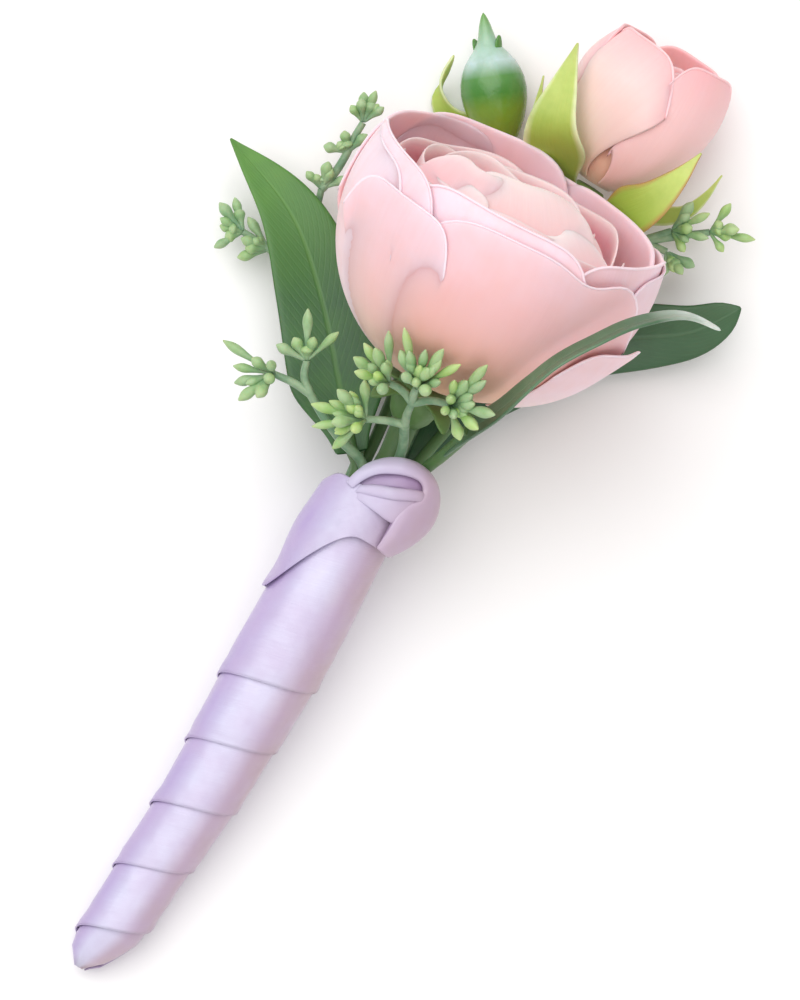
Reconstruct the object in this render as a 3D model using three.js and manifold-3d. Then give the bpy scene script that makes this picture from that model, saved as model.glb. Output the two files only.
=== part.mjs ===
// A boutonniere lying on its back: a cupped pink rose, a half-open rosebud, a closed green bud,
// three leaves and four seeded sprigs, bound in green tape and wrapped in lilac satin ribbon.
// Lengths are millimetres. Every piece is drawn in the handle's own frame: +Y runs from the ribbon's
// tip to the flowers, +X to the right, +Z out of the front, with the binding point at the origin.
// One tilted group then lays the whole on the plane z = 0.
import * as THREE from 'three';
import { mergeVertices } from 'three/addons/utils/BufferGeometryUtils.js';
import Module from 'manifold-3d';

const wasm = await Module();
wasm.setup();

const V = (x, y, z) => new THREE.Vector3(x, y, z);
const { lerp, clamp, degToRad: rad } = THREE.MathUtils;
const smooth = (x) => THREE.MathUtils.smoothstep(x, 0, 1);

// Driving dimensions
const REST_TILT = rad(8); // the heavy head props the handle up by this much
const BINDING_AT = V(4.92, -0.32, 11.85); // where the binding point stands in the part's frame
const SHEET = 0.6; // petals, leaves and sepals
const GAP = 0.3; // between touching pieces

const HANDLE_END = -66.2;
const HANDLE_TOP = 0.3;
const WRAP_PITCH = 8.6; // one turn of ribbon along the handle
const WRAP_SEAM = -60.2; // a turn's lower edge crosses the front here
const WRAP_STEP = 0.3; // how far each turn's lower edge stands out
const LAST_SEAM = -21; // above this the wrap is one smooth turn
const RIBBON_WALL = 0.56;
const TAPE_WALL = 0.6;

const RING = 3.1; // the thin stems stand on this circle around the rose's stem
const THIN_STEM = 0.75;
const ROSE_STEM = 1.6;

const ROSE = { base: [-1.3, 14.9, 2.0], axis: [-0.064, 0.949, 0.309], radius: 19.6, belly: 19.5 };
const ROSEBUD = { base: [3.6, 45.6, -12.2], axis: [0.02, 0.985, 0.13], radius: 9.0, belly: 11.4 };
const GREEN_BUD = { base: [-9.9, 45.9, -14.9], axis: [-0.62, 0.77, 0.04], radius: 4.1 };

// Colours from the photograph
const paint = (color, roughness) => new THREE.MeshStandardMaterial({ color, roughness, metalness: 0 });
const PINK = paint(0xf0c3c4, 0.6);
const PEACH = paint(0xf4c0b4, 0.6);
const SEPAL = paint(0x9fb84a, 0.5);
const BUD_GREEN = paint(0x5f9a4c, 0.4);
const LEAF = paint(0x2f5f34, 0.45);
const PALE_LEAF = paint(0x78967d, 0.5);
const SEED = paint(0x9cc274, 0.5);
const SATIN = paint(0xcdbede, 0.35);
const TAPE = paint(0x3f6b43, 0.7);

// Solids

function solidOf(geometry) {
  const bare = geometry.clone();
  bare.deleteAttribute('normal');
  bare.deleteAttribute('uv');
  const merged = mergeVertices(bare, 1e-4);
  const triVerts = new Uint32Array(merged.index.array);
  const vertProperties = new Float32Array(merged.attributes.position.array);
  const made = new wasm.Manifold(new wasm.Mesh({ numProp: 3, vertProperties, triVerts }));
  if (made.volume() > 0) return made;
  for (let i = 0; i < triVerts.length; i += 3) {
    [triVerts[i + 1], triVerts[i + 2]] = [triVerts[i + 2], triVerts[i + 1]];
  }
  return new wasm.Manifold(new wasm.Mesh({ numProp: 3, vertProperties, triVerts }));
}

// The largest closed body, so that a sealed hollow is filled and a loose scrap is dropped.
function oneBody(solid) {
  return solid.decompose().reduce((best, body) => (body.volume() > best.volume() ? body : best));
}

const join = (...solids) => oneBody(wasm.Manifold.union(solids.flat()));

function geometryOf(solid) {
  const { numProp, vertProperties, triVerts } = solid.getMesh();
  const position = new Float32Array((vertProperties.length / numProp) * 3);
  for (let i = 0; i < position.length / 3; i += 1) {
    position.set(vertProperties.subarray(i * numProp, i * numProp + 3), i * 3);
  }
  const geometry = new THREE.BufferGeometry();
  geometry.setAttribute('position', new THREE.BufferAttribute(position, 3));
  geometry.setIndex(new THREE.BufferAttribute(triVerts, 1));
  return geometry;
}

function closedSurface(points, index) {
  const geometry = new THREE.BufferGeometry().setFromPoints(points);
  geometry.setIndex(index);
  return solidOf(geometry);
}

// A fan from the middle of a closed loop of points, added to the surface as its end.
function capLoop(points, index, loop, flip) {
  const middle = loop.reduce((sum, p) => sum.add(points[p]), V(0, 0, 0)).divideScalar(loop.length);
  points.push(middle);
  const hub = points.length - 1;
  loop.forEach((p, k) => {
    const q = loop[(k + 1) % loop.length];
    index.push(hub, flip ? q : p, flip ? p : q);
  });
}

// A closed solid through rings of equal length.
function loft(rings) {
  const sides = rings[0].length;
  const points = rings.flat();
  const index = [];
  for (let j = 0; j + 1 < rings.length; j += 1) {
    for (let i = 0; i < sides; i += 1) {
      const next = (i + 1) % sides;
      const [a, b] = [j * sides + i, j * sides + next];
      const [c, d] = [b + sides, a + sides];
      index.push(a, b, c, a, c, d);
    }
  }
  const ringLoop = (j) => Array.from({ length: sides }, (_, i) => j * sides + i);
  capLoop(points, index, ringLoop(0), true);
  capLoop(points, index, ringLoop(rings.length - 1), false);
  return closedSurface(points, index);
}

// A round tube along a smooth curve; radiusAt gives its radius at a share t of its length.
function tube(points, radiusAt, { sides = 6, steps = 8, squash = 1 } = {}) {
  const curve = new THREE.CatmullRomCurve3(points.map((p) => V(...p)), false, 'centripetal');
  const { normals, binormals } = curve.computeFrenetFrames(steps, false);
  const rings = [];
  for (let j = 0; j <= steps; j += 1) {
    const centre = curve.getPointAt(j / steps);
    const radius = radiusAt(j / steps);
    rings.push(Array.from({ length: sides }, (_, i) => {
      const angle = (2 * Math.PI * i) / sides;
      return centre.clone()
        .addScaledVector(normals[j], radius * Math.cos(angle) * squash)
        .addScaledVector(binormals[j], radius * Math.sin(angle));
    }));
  }
  return loft(rings);
}

// A sheet of even thickness whose middle surface is pointAt(a, b): a from -1 to 1 across, b from 0 to 1 along.
function sheet(pointAt, across, along, thickness = SHEET) {
  const step = 1e-3;
  const [top, under] = [[], []];
  for (let j = 0; j <= along; j += 1) {
    for (let i = 0; i <= across; i += 1) {
      const [a, b] = [-1 + (2 * i) / across, j / along];
      const [near, low] = [Math.min(a, 1 - step), Math.min(b, 1 - step)];
      const corner = pointAt(near, low);
      const acrossWay = pointAt(near + step, low).sub(corner);
      const alongWay = pointAt(near, low + step).sub(corner);
      const normal = acrossWay.cross(alongWay).normalize();
      top.push(pointAt(a, b).addScaledVector(normal, thickness / 2));
      under.push(pointAt(a, b).addScaledVector(normal, -thickness / 2));
    }
  }
  const row = across + 1;
  const shift = top.length;
  const index = [];
  for (let j = 0; j < along; j += 1) {
    for (let i = 0; i < across; i += 1) {
      const [p, q] = [j * row + i, j * row + i + 1];
      const [r, s] = [q + row, p + row];
      index.push(p, q, r, p, r, s);
      index.push(p + shift, r + shift, q + shift, p + shift, s + shift, r + shift);
    }
  }
  const border = [];
  for (let i = 0; i < across; i += 1) border.push(i);
  for (let j = 0; j < along; j += 1) border.push(j * row + across);
  for (let i = across; i > 0; i -= 1) border.push(along * row + i);
  for (let j = along; j > 0; j -= 1) border.push(j * row);
  border.forEach((p, k) => {
    const q = border[(k + 1) % border.length];
    index.push(q, p, p + shift, q, p + shift, q + shift);
  });
  return closedSurface([...top, ...under], index);
}

// A solid of revolution about +Z from [radius, height] pairs that start and end on the axis.
function turned(profile, sides) {
  const geometry = new THREE.LatheGeometry(profile.map(([r, h]) => new THREE.Vector2(r, h)), sides);
  return solidOf(geometry.rotateX(Math.PI / 2));
}

// The frame of a bloom: +Z is its axis, +X stays to the right, and -Y is the side seen from the front.
function bloomFrame({ base, axis }) {
  const up = V(...axis).normalize();
  const right = V(1, 0, 0).addScaledVector(up, -up.x).normalize();
  const back = up.clone().cross(right);
  return new THREE.Matrix4().makeBasis(right, back, up).setPosition(...base);
}

const placed = (solid, matrix) => solid.transform(matrix.elements.slice());
const inFrame = (frame, x, y, z) => V(x, y, z).applyMatrix4(frame).toArray();

// The ground below z = 0 as a slab in the handle's frame, which flattens what rests on it.
const layDown = new THREE.Matrix4().makeRotationX(REST_TILT).setPosition(BINDING_AT);
const groundBox = solidOf(new THREE.BoxGeometry(300, 300, 20).translate(0, 0, -10));
const ground = placed(groundBox, layDown.clone().invert());
const flattened = (solid) => oneBody(solid.subtract(ground));

// The ribbon wrap

// along the handle, outer radius, sideways drift
const WRAP_STATIONS = [
  [-66.2, 0.5, -0.9], [-65.0, 1.9, -0.8], [-62.8, 2.9, -0.3], [-60.4, 3.5, 0.3], [-51, 3.9, 0.6],
  [-42, 4.35, 1.1], [-34, 4.8, 1.0], [-24, 5.4, 0.8], [-16, 5.55, 0.5], [-6, 5.55, 0.0], [8, 5.55, 0.0],
];

function wrapAt(y) {
  const above = WRAP_STATIONS.findIndex(([along]) => along > y);
  const k = above < 0 ? WRAP_STATIONS.length - 2 : Math.max(above - 1, 0);
  const [low, high] = [WRAP_STATIONS[k], WRAP_STATIONS[k + 1]];
  const t = clamp((y - low[0]) / (high[0] - low[0]), 0, 1);
  return { radius: lerp(low[1], high[1], t), side: lerp(low[2], high[2], t) };
}

// A point on the wrap, or above it; the angle runs from the left side over the front.
function onWrap(y, angle, lift) {
  const { radius, side } = wrapAt(y);
  return V(side - (radius + lift) * Math.cos(angle), y, (radius + lift) * Math.sin(angle));
}

// The turns are one spiral strip: each is high at its lower edge and dives under the next one.
function spiral() {
  const sides = 16;
  const across = [[0, 1], [0.45, 0.6], [0.92, 0.15]]; // share of the turn, share of the step
  const turns = 10;
  const rows = turns * across.length;
  const first = WRAP_SEAM - 2.25 * WRAP_PITCH;
  const points = [];
  for (let j = 0; j <= rows + across.length; j += 1) {
    const [share, lift] = across[j % across.length];
    for (let i = 0; i < (j <= rows ? sides : 1); i += 1) {
      const y = first + (Math.floor(j / across.length) + share + i / sides) * WRAP_PITCH;
      const stands = smooth((y - HANDLE_END) / 6) * smooth((LAST_SEAM - y) / 4);
      points.push(onWrap(y, (2 * Math.PI * i) / sides, WRAP_STEP * (lift * stands + 0.3 * (1 - stands))));
    }
  }
  const upper = (j) => (j <= rows ? j * sides : (rows + 1) * sides + j - rows - 1);
  const at = (j, i) => (i < sides ? j * sides + i : upper(j + across.length));
  const index = [];
  for (let j = 0; j < rows; j += 1) {
    for (let i = 0; i < sides; i += 1) {
      index.push(at(j, i), at(j, i + 1), at(j + 1, i + 1), at(j, i), at(j + 1, i + 1), at(j + 1, i));
    }
  }
  const edge = (j) => {
    const loop = Array.from({ length: sides }, (_, i) => at(j, i));
    for (let k = across.length; k > 0; k -= 1) loop.push(upper(j + k));
    return loop;
  };
  capLoop(points, index, edge(0), true);
  capLoop(points, index, edge(rows), false);
  return closedSurface(points, index);
}

// A round solid that follows the handle at an inset from the ribbon's outside.
function handleCore(from, to, inset, sides = 14) {
  const steps = 7;
  return loft(Array.from({ length: steps + 1 }, (_, j) => Array.from({ length: sides }, (_, i) => (
    onWrap(lerp(from, to, j / steps), (2 * Math.PI * i) / sides, -inset)
  ))));
}

// The last turn: its lower edge climbs steeply from the left and then runs level under the knot.
function topBand() {
  return sheet((a, b) => {
    const angle = rad(lerp(-20, 170, (a + 1) / 2));
    const lower = lerp(-16.2, -5.4, smooth((angle - 0.2) / 1.65));
    return onWrap(lerp(lower, HANDLE_TOP - 0.4, b), angle, 0.2 + 0.12 * b);
  }, 9, 2);
}

// The knot: one soft roll arches over the top and down the right side, with two folds inside it.
function knot() {
  const roll = tube([
    [-3.6, -0.4, 5.0], [-1.7, 1.9, 5.9], [0.9, 3.8, 6.2], [3.3, 4.2, 5.9], [5.6, 3.1, 4.9],
    [6.9, 1.2, 3.7], [7.0, -1.0, 3.2], [6.1, -3.0, 3.4], [4.7, -4.8, 4.0],
  ], (t) => 1.0 + 0.55 * Math.sin(Math.PI * t), { sides: 8, steps: 10 });
  const brightFold = tube([[-2.6, 0.1, 5.8], [0.5, 0.9, 6.8], [3.4, 0.9, 6.4], [5.6, -0.4, 4.9]],
    () => 1.05, { sides: 7, steps: 6 });
  const innerFold = tube([[-2.4, 0.9, 5.4], [0.8, 2.5, 5.9], [3.6, 2.5, 5.5], [5.6, 1.0, 4.4]],
    () => 1.0, { sides: 7, steps: 6 });
  const tail = tube([[5.6, -0.2, 4.6], [5.3, -2.2, 4.6], [4.4, -4.2, 4.6]],
    () => 1.2, { sides: 7, steps: 4 });
  return [roll, brightFold, innerFold, tail];
}

function ribbon() {
  const length = HANDLE_TOP - HANDLE_END;
  const span = solidOf(new THREE.BoxGeometry(40, length, 40).translate(0, HANDLE_END + length / 2, 0));
  const wrap = wasm.Manifold.union([spiral(), topBand()]).intersect(span);
  const bore = handleCore(-59, 14, RIBBON_WALL);
  return flattened(join([wrap, ...knot()]).subtract(bore));
}

// Thin stems

// A stem's place in the sleeve: the angle is seen from the top of the bunch, 0 to the right, 90 to the front.
function sleevePoint(angle, y) {
  const { side } = wrapAt(y);
  return [side + RING * Math.cos(rad(angle)), y, RING * Math.sin(rad(angle))];
}

// A stem from its cut end in the sleeve, through the binding and on through the given points.
function thinStem(angle, cutAt, points, { from = THIN_STEM, to = THIN_STEM, steps = 10 } = {}) {
  const sleeve = [cutAt, cutAt * 0.5, -1].map((y) => sleevePoint(angle, y));
  return tube([...sleeve, ...points], (t) => lerp(from, to, smooth((t - 0.3) / 0.7)), { sides: 5, steps });
}

// Leaves and sepals

// A blade along a spine; side gives the way across it, halfWidth its half width at a share t of its length.
function blade(spine, halfWidth, side, { fold = 0.25, across = 4, along = 8, wave = 0 } = {}) {
  const curve = new THREE.CatmullRomCurve3(spine.map((p) => V(...p)), false, 'centripetal');
  return sheet((a, b) => {
    const tangent = curve.getTangentAt(b);
    const way = V(...(typeof side === 'function' ? side(b) : side));
    way.addScaledVector(tangent, -way.dot(tangent)).normalize();
    const normal = way.clone().cross(tangent);
    const width = Math.max(halfWidth(b), 0.25);
    const lift = width * (fold * Math.abs(a) + wave * a * Math.sin(7 * b));
    return curve.getPointAt(b).addScaledVector(way, a * width).addScaledVector(normal, lift);
  }, across, along);
}

function leafLeft() {
  const stem = thinStem(144, -14, [[-3.2, 1.8, 1.8], [-4.6, 3.0, 1.1], [-7.2, 5.8, -0.6]]);
  const body = blade(
    [[-4.4, 2.7, 1.0], [-10.9, 10.0, -3.4], [-17.8, 17.3, -6.2], [-25.8, 23.7, -7.6], [-36.5, 27.6, -9.0]],
    (t) => 6.1 * (1 - t ** 3.1) * lerp(0.33, 1, smooth(t / 0.24)),
    [0.579, 0.815, -0.15],
    { across: 4, along: 10, fold: 0.12, wave: 0.05 },
  );
  return join(stem, body);
}

function leafRight() {
  const stem = thinStem(-36, -17, [[2.6, 2, -2.1], [2.9, 6, -3.2], [3.7, 11, -4.9]]);
  const body = blade(
    [[2.8, 5, -2.9], [3.4, 10, -4.5], [4.9, 16.5, -6.9], [8, 23, -9.4], [12.8, 28.8, -11.2], [18.7, 33, -11.4],
      [23.3, 36.6, -10.8], [26.5, 41.8, -9.8]],
    (t) => 5.0 * smooth((t + 0.25) / 0.72) * Math.sqrt(Math.max(1 - t ** 3.6, 0)),
    [-0.7, 0.7, 0.1],
    { across: 4, along: 10, wave: 0.05 },
  );
  return join(stem, body);
}

function leafFront() {
  const path = [[4.9, 8, 5.0], [6.2, 12, 11], [8.0, 15.8, 18.0], [9.3, 19.8, 22.8], [10.8, 24, 24.2], [13.4, 28.3, 24.2],
    [16.2, 32.4, 22.4], [20.5, 36.2, 19.0], [25.2, 37.1, 16.8]];
  const stem = thinStem(0, -19, [[3.3, 2, 0.3], [3.8, 5, 2.2], ...path.slice(0, 2)]);
  const body = blade(path, (t) => 1.9 * smooth((t + 0.1) / 0.3) * Math.sqrt(Math.max(1 - t ** 4, 0)),
    (t) => [0.28, -0.22, 0.95 - 0.2 * t], { fold: 0.15, across: 2, along: 12 });
  return join(stem, body);
}

// Seeded sprigs

// One seed bud: a thin stalk that swells into a blunt club.
function seedBud(hub, tip) {
  const [from, to] = [V(...hub), V(...tip)];
  const way = to.clone().sub(from).normalize();
  const across = V(way.z, 0, -way.x).normalize();
  const over = way.clone().cross(across);
  return loft([[0, 0.42], [0.7, 0.9], [1, 0.45]].map(([share, radius]) => Array.from({ length: 5 }, (_, i) => (
    from.clone().lerp(to, share)
      .addScaledVector(across, radius * Math.cos((2 * Math.PI * i) / 5))
      .addScaledVector(over, radius * Math.sin((2 * Math.PI * i) / 5))
  ))));
}

// Each umbel is a hub with the tips of its buds.
const umbel = ({ hub, tips }) => tips.map((tip) => seedBud(hub, tip));
const twig = (points) => tube(points, (t) => lerp(0.55, 0.42, t), { sides: 4, steps: 2 });

function sprigFrontLeft() {
  const fork = [-12.3, 6.2, 4.6];
  const first = { hub: [-14.6, 9.3, 5.0], tips: [[-17.6, 14.6, 5.6], [-13.1, 14.1, 6.4], [-18.6, 9.1, 5.8]] };
  const second = {
    hub: [-17.1, 6.0, 4.4],
    tips: [[-24.3, 6.3, 3.4], [-20.6, 2.7, 3.6], [-19.1, 1.2, 4.8], [-17.4, 2.6, 6.0], [-18.1, 6.9, 8.2]],
  };
  return join(
    thinStem(108, -12, [[-2.4, 2.0, 3.2], [-6.4, 3.4, 4.0], [-9.7, 4.8, 4.4], fork], { to: 0.5 }),
    twig([fork, [-13.9, 7.6, 4.8], first.hub]),
    twig([fork, [-14.4, 6.3, 4.6], second.hub]),
    umbel(first),
    umbel(second),
  );
}

function sprigFront() {
  const fork = [-0.8, 8.8, 9.2];
  const crown = [-1.3, 11.4, 13.2];
  const umbels = [
    {
      hub: [-5.0, 7.0, 9.4],
      tips: [[-8.3, 8.8, 10.4], [-9.8, 6.6, 9.6], [-11.4, 5.2, 9.0], [-10.0, 3.0, 8.6], [-6.6, 2.0, 8.8],
        [-8.2, 4.6, 12.4], [-7.5, 10.8, 11.4]],
    },
    {
      hub: [-4.8, 12.0, 13.6],
      tips: [[-9.9, 12.4, 14.6], [-9.7, 14.4, 15.8], [-7.9, 17.0, 20.4], [-6.4, 13.6, 18.0]],
    },
    {
      hub: [-1.8, 13.2, 16.4],
      tips: [[-6.5, 18.2, 22.4], [-5.6, 15.8, 19.6], [-3.1, 17.3, 22.0], [-1.7, 15.6, 21.2], [-1.4, 18.4, 23.2],
        [1.2, 17.9, 22.6]],
    },
    {
      hub: [2.6, 13.4, 15.6],
      tips: [[3.9, 19.4, 24.0], [4.7, 17.8, 22.6], [7.6, 15.0, 22.0], [5.7, 10.5, 16.4], [4.2, 15.6, 20.6],
        [6.8, 12.6, 19.4]],
    },
  ];
  const [lower, left, top, right] = umbels.map(({ hub }) => hub);
  return join(
    thinStem(72, -22, [[0.9, 3.6, 3.2], [0.4, 6.2, 4.9], fork], { to: 0.6 }),
    twig([fork, [-1.2, 10.1, 11.2], crown]),
    twig([fork, [-2.8, 8.1, 9.5], lower]),
    twig([crown, [-3.0, 12.0, 13.6], left]),
    twig([crown, [-1.7, 12.4, 14.9], top]),
    twig([crown, [0.6, 12.8, 14.7], right]),
    umbels.flatMap(umbel),
  );
}

function sprigRight() {
  const fork = [12.2, 42.6, -12.4];
  const umbels = [
    { hub: [14.6, 45.4, -11.4], tips: [[15.0, 49.6, -9.6], [17.4, 49.4, -8.2], [18.8, 46.8, -8.6], [17.2, 44.0, -9.6]] },
    { hub: [18.6, 47.6, -10.6], tips: [[19.0, 51.8, -9.8], [21.4, 49.6, -8.4], [23.7, 49.6, -10.0], [21.2, 46.4, -9.6]] },
    { hub: [15.4, 43.0, -11.8], tips: [[18.4, 41.6, -10.4], [19.2, 43.2, -12.2], [16.6, 40.4, -11.6]] },
  ];
  return join(
    thinStem(-72, -15, [[1.0, 3, -3.6], [1.4, 10, -6.9], [3.2, 20, -10.6], [6.4, 31, -13.6], [9.8, 38.6, -13.6], fork],
      { to: 0.55, steps: 12 }),
    umbels.map(({ hub }) => twig([fork, fork.map((c, k) => lerp(c, hub[k], 0.5)), hub])),
    umbels.flatMap(umbel),
  );
}

function sprigBackLeft() {
  const lowFork = [-13.6, 14.6, -8.4];
  const midFork = [-21.2, 22.6, -10.6];
  const umbels = [
    { hub: [-24.0, 28.0, -10.0], tips: [[-26.6, 28.9, -9.4], [-22.0, 30.8, -9.4], [-24.9, 31.2, -8.6]] },
    { hub: [-23.6, 33.4, -9.8], tips: [[-25.2, 35.4, -9.0], [-26.4, 32.6, -9.4], [-22.6, 36.4, -8.6]] },
    { hub: [-23.8, 37.4, -9.4], tips: [[-26.1, 38.4, -8.8], [-24.4, 41.4, -8.4], [-22.6, 40.2, -8.2], [-25.6, 40.6, -9.8]] },
    { hub: [-25.6, 18.6, -10.2], tips: [[-29.8, 20.6, -10.2], [-29.2, 18.0, -9.6], [-28.4, 15.8, -10.4]] },
    { hub: [-29.4, 18.8, -10.4], tips: [[-33.6, 20.3, -9.8], [-32.2, 18.0, -10.6], [-31.4, 15.4, -9.8], [-32.4, 21.8, -10.8]] },
  ];
  const [low, mid, top, side, tip] = umbels.map(({ hub }) => hub);
  return join(
    thinStem(180, -20, [[-3.6, 2.6, -0.8], [-6.0, 6.4, -3.6], [-9.6, 10.6, -6.6], lowFork], { to: 0.6 }),
    twig([lowFork, [-17.6, 18.6, -9.4], midFork, [-23.0, 25.2, -10.4], low]),
    twig([low, [-23.6, 30.8, -9.9], mid, [-23.8, 35.4, -9.6], top]),
    twig([lowFork, [-19.8, 17.2, -9.4], side, tip]),
    umbels.flatMap(umbel),
  );
}

// Blooms

// A petal of a cup, as a sheet: it starts near the axis, bellies out to its radius and closes in above it.
function cupPetal({
  radius, belly, facing, half, top, foot = 0, start = 11, swirl = 0.032, droop = 0.32, flare = 0, twist = 0,
  notch = [0, 0], across = 5, along = 5,
}) {
  const first = rad(start);
  const last = Math.acos(1 - (top - foot) / belly);
  const [notchAt, notchDepth] = notch;
  return sheet((a, b) => {
    const theta = lerp(first, last, b * (1 - droop * Math.abs(a) ** 6 * b))
      - (notchDepth / belly) * Math.exp(-(((a - notchAt) / 0.2) ** 2)) * smooth((b - 0.5) / 0.5);
    const phi = rad(facing + twist * (b - 0.5) + half * a * lerp(0.62, 1, smooth(b / 0.55)));
    const rim = smooth((b - 0.72) / 0.28);
    const wide = radius * Math.sin(theta) * (1 + swirl * a) + rim * flare;
    return V(wide * Math.cos(phi), wide * Math.sin(phi), foot + belly * (1 - Math.cos(theta)));
  }, across, along);
}

// A petal inside the cup: it leaves the core at a foot height and its top leans towards the heart.
function heartPetal({ radius, facing, half, top, foot, heart, curl = 0.6, ruffle = 0.5 }) {
  const root = Math.min(radius, 6.5);
  return sheet((a, b) => {
    const phi = rad(facing + half * a);
    const wide = lerp(root, radius, Math.sin((Math.PI / 2) * Math.min(b / 0.65, 1))) * (1 + 0.05 * a)
      - curl * smooth((b - 0.6) / 0.4) + ruffle * b * Math.sin(4 * a + facing);
    const [aside, forward] = heart.map((move) => move * smooth(b / 0.8));
    const high = lerp(foot, top - 1.4 * a ** 4, b) + ruffle * b * Math.cos(5 * a + facing);
    return V(wide * Math.cos(phi) + aside, wide * Math.sin(phi) + forward, high);
  }, 3, 3);
}

// A petal that closes over the heart: profile gives its distance and height on the way it faces.
function domePetal({ facing, profile, lowHalf, topHalf, shift, wall = 0.7 }) {
  const line = new THREE.CatmullRomCurve3(profile.map(([out, high]) => V(out, 0, high)), false, 'centripetal');
  const [c, s] = [Math.cos(rad(facing)), Math.sin(rad(facing))];
  return sheet((a, b) => {
    const reach = b * (1 - 0.16 * Math.abs(a) ** 2.6);
    const spot = line.getPointAt(reach);
    const half = lerp(lowHalf, topHalf, smooth((reach - 0.4) / 0.6));
    const around = lerp(11, 15, reach);
    const out = spot.x - around * (1 - Math.cos((a * half) / around));
    const over = around * Math.sin((a * half) / around);
    const high = spot.z - 0.9 * a * a * smooth((reach - 0.5) / 0.5);
    return V(c * out - s * over + shift[0], s * out + c * over + shift[1], high);
  }, 3, 4, wall);
}

function roseBloom() {
  const { radius, belly } = ROSE;
  const guard = [
    { facing: -139, half: 43, top: 23.3 }, { facing: -68, half: 54, top: 25.1, notch: [0.33, 2] },
    { facing: 8, half: 42, top: 24.4 }, { facing: 74, half: 44, top: 24.4 }, { facing: 140, half: 42, top: 25.8 },
  ].map((petal) => cupPetal({ radius, belly, ...petal }));
  const second = [
    { facing: -157, half: 44, top: 26.4 }, { facing: -90, half: 46, top: 26.6 }, { facing: -20, half: 44, top: 25.8 },
    { facing: 48, half: 44, top: 24.8 }, { facing: 112, half: 44, top: 26.2 },
  ].map((petal) => cupPetal({ radius: radius - 1.5, belly: belly - 0.6, foot: 1.1, flare: 0.6, start: 40, across: 4, along: 4, ...petal }));
  const loose = cupPetal({ radius: radius + 1.4, belly: belly + 1, foot: -0.2, start: 26, facing: -13, half: 27, top: 16.3,
    droop: 0.3, along: 3 });
  const rings = [
    { radius: 15.2, count: 4, start: 45, top: 24.2, foot: 6, heart: [-0.4, 0.6] },
    { radius: 11.6, count: 2, start: 70, top: 24.8, foot: 9, heart: [-1.2, 1.2] },
  ];
  const inner = rings.flatMap(({ count, start, ...ring }) => Array.from({ length: count }, (_, k) => (
    heartPetal({ ...ring, facing: start + (360 * k) / count, half: 215 / count })
  )));
  const dome = [
    { facing: -140, lowHalf: 10, topHalf: 7, shift: [-0.6, 0],
      profile: [[6, 6], [12.2, 13], [13.0, 18], [11.8, 21.6], [9.4, 24.0], [6.6, 25.5]] },
    { facing: -12, lowHalf: 9, topHalf: 7, shift: [0.8, 0],
      profile: [[6, 6], [12.0, 13], [12.8, 18], [11.8, 21.4], [9.6, 23.8], [6.8, 25.2]] },
    { facing: -70, lowHalf: 10, topHalf: 7, shift: [1.4, 0.4],
      profile: [[6, 6], [11.6, 13], [12.6, 17.5], [11.4, 21.2], [8.2, 24.0], [3.6, 25.8], [-1.0, 26.4], [-3.0, 26.1]] },
  ].map(domePetal);
  const core = turned([[0, 0], [3.4, 0], [7, 4], [9, 10], [8.5, 16], [6, 20.5], [0, 22.4]], 12);
  return placed(join([core, ...guard, ...second, loose, ...inner, ...dome]), bloomFrame(ROSE));
}

const HIP_LENGTH = 6.4;

function roseStem() {
  const frame = bloomFrame(ROSE);
  const foot = inFrame(frame, 0, 0, -HIP_LENGTH + 0.8);
  const hip = turned([[0, -HIP_LENGTH], [1.6, -HIP_LENGTH], [2.6, -5], [3.3, -2.8], [3.1, -1], [2.4, -GAP - 0.4],
    [0, -GAP - 0.4]], 12);
  const sepals = [-126, -54, 18, 90, 162].map((turn) => {
    const at = (r, z) => [r * Math.cos(rad(turn)), r * Math.sin(rad(turn)), z];
    return blade([at(2.2, -1.4), at(4.4, -1.5), at(6.4, -1.8), at(8.2, -3.2)],
      (t) => 1.7 * Math.sqrt(Math.max(1 - t * t, 0)) * smooth((t + 0.35) / 0.5),
      [-Math.sin(rad(turn)), Math.cos(rad(turn)), 0], { across: 2, along: 3, fold: 0.1 });
  });
  const sleeve = [-56, -40, -24, -10, 0].map((y) => [wrapAt(y).side, y, 0]);
  const stem = tube([...sleeve, [-0.2, 4, 0.3], foot], (t) => lerp(1.35, ROSE_STEM, smooth(t / 0.5)),
    { sides: 8, steps: 10 });
  return join(stem, placed(join(hip, sepals), frame));
}

function rosebudBloom() {
  const { radius, belly } = ROSEBUD;
  const outer = [
    { facing: -142, half: 60, top: 18.2, flare: -0.6, twist: 26 }, { facing: -40, half: 58, top: 18.2, flare: 0.3, twist: 10 },
    { facing: 62, half: 60, top: 18.2, flare: -0.2 }, { facing: 150, half: 58, top: 18.0, flare: -0.8 },
  ].map((petal) => cupPetal({ radius, belly, swirl: 0.06, along: 4, ...petal }));
  const inner = [
    { radius: 5.8, count: 3, start: -60, top: 17.0 },
  ].flatMap(({ count, start, ...ring }) => Array.from({ length: count }, (_, k) => heartPetal({
    ...ring, facing: start + (360 * k) / count, half: 200 / count, foot: 7, heart: [0, 0], ruffle: 0.2,
  })));
  const core = turned([[0, 0], [2.2, 0], [4.8, 3], [6.0, 7], [5.4, 11], [0, 13.6]], 10);
  return flattened(placed(join([core, ...outer, ...inner]), bloomFrame(ROSEBUD)));
}

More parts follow.
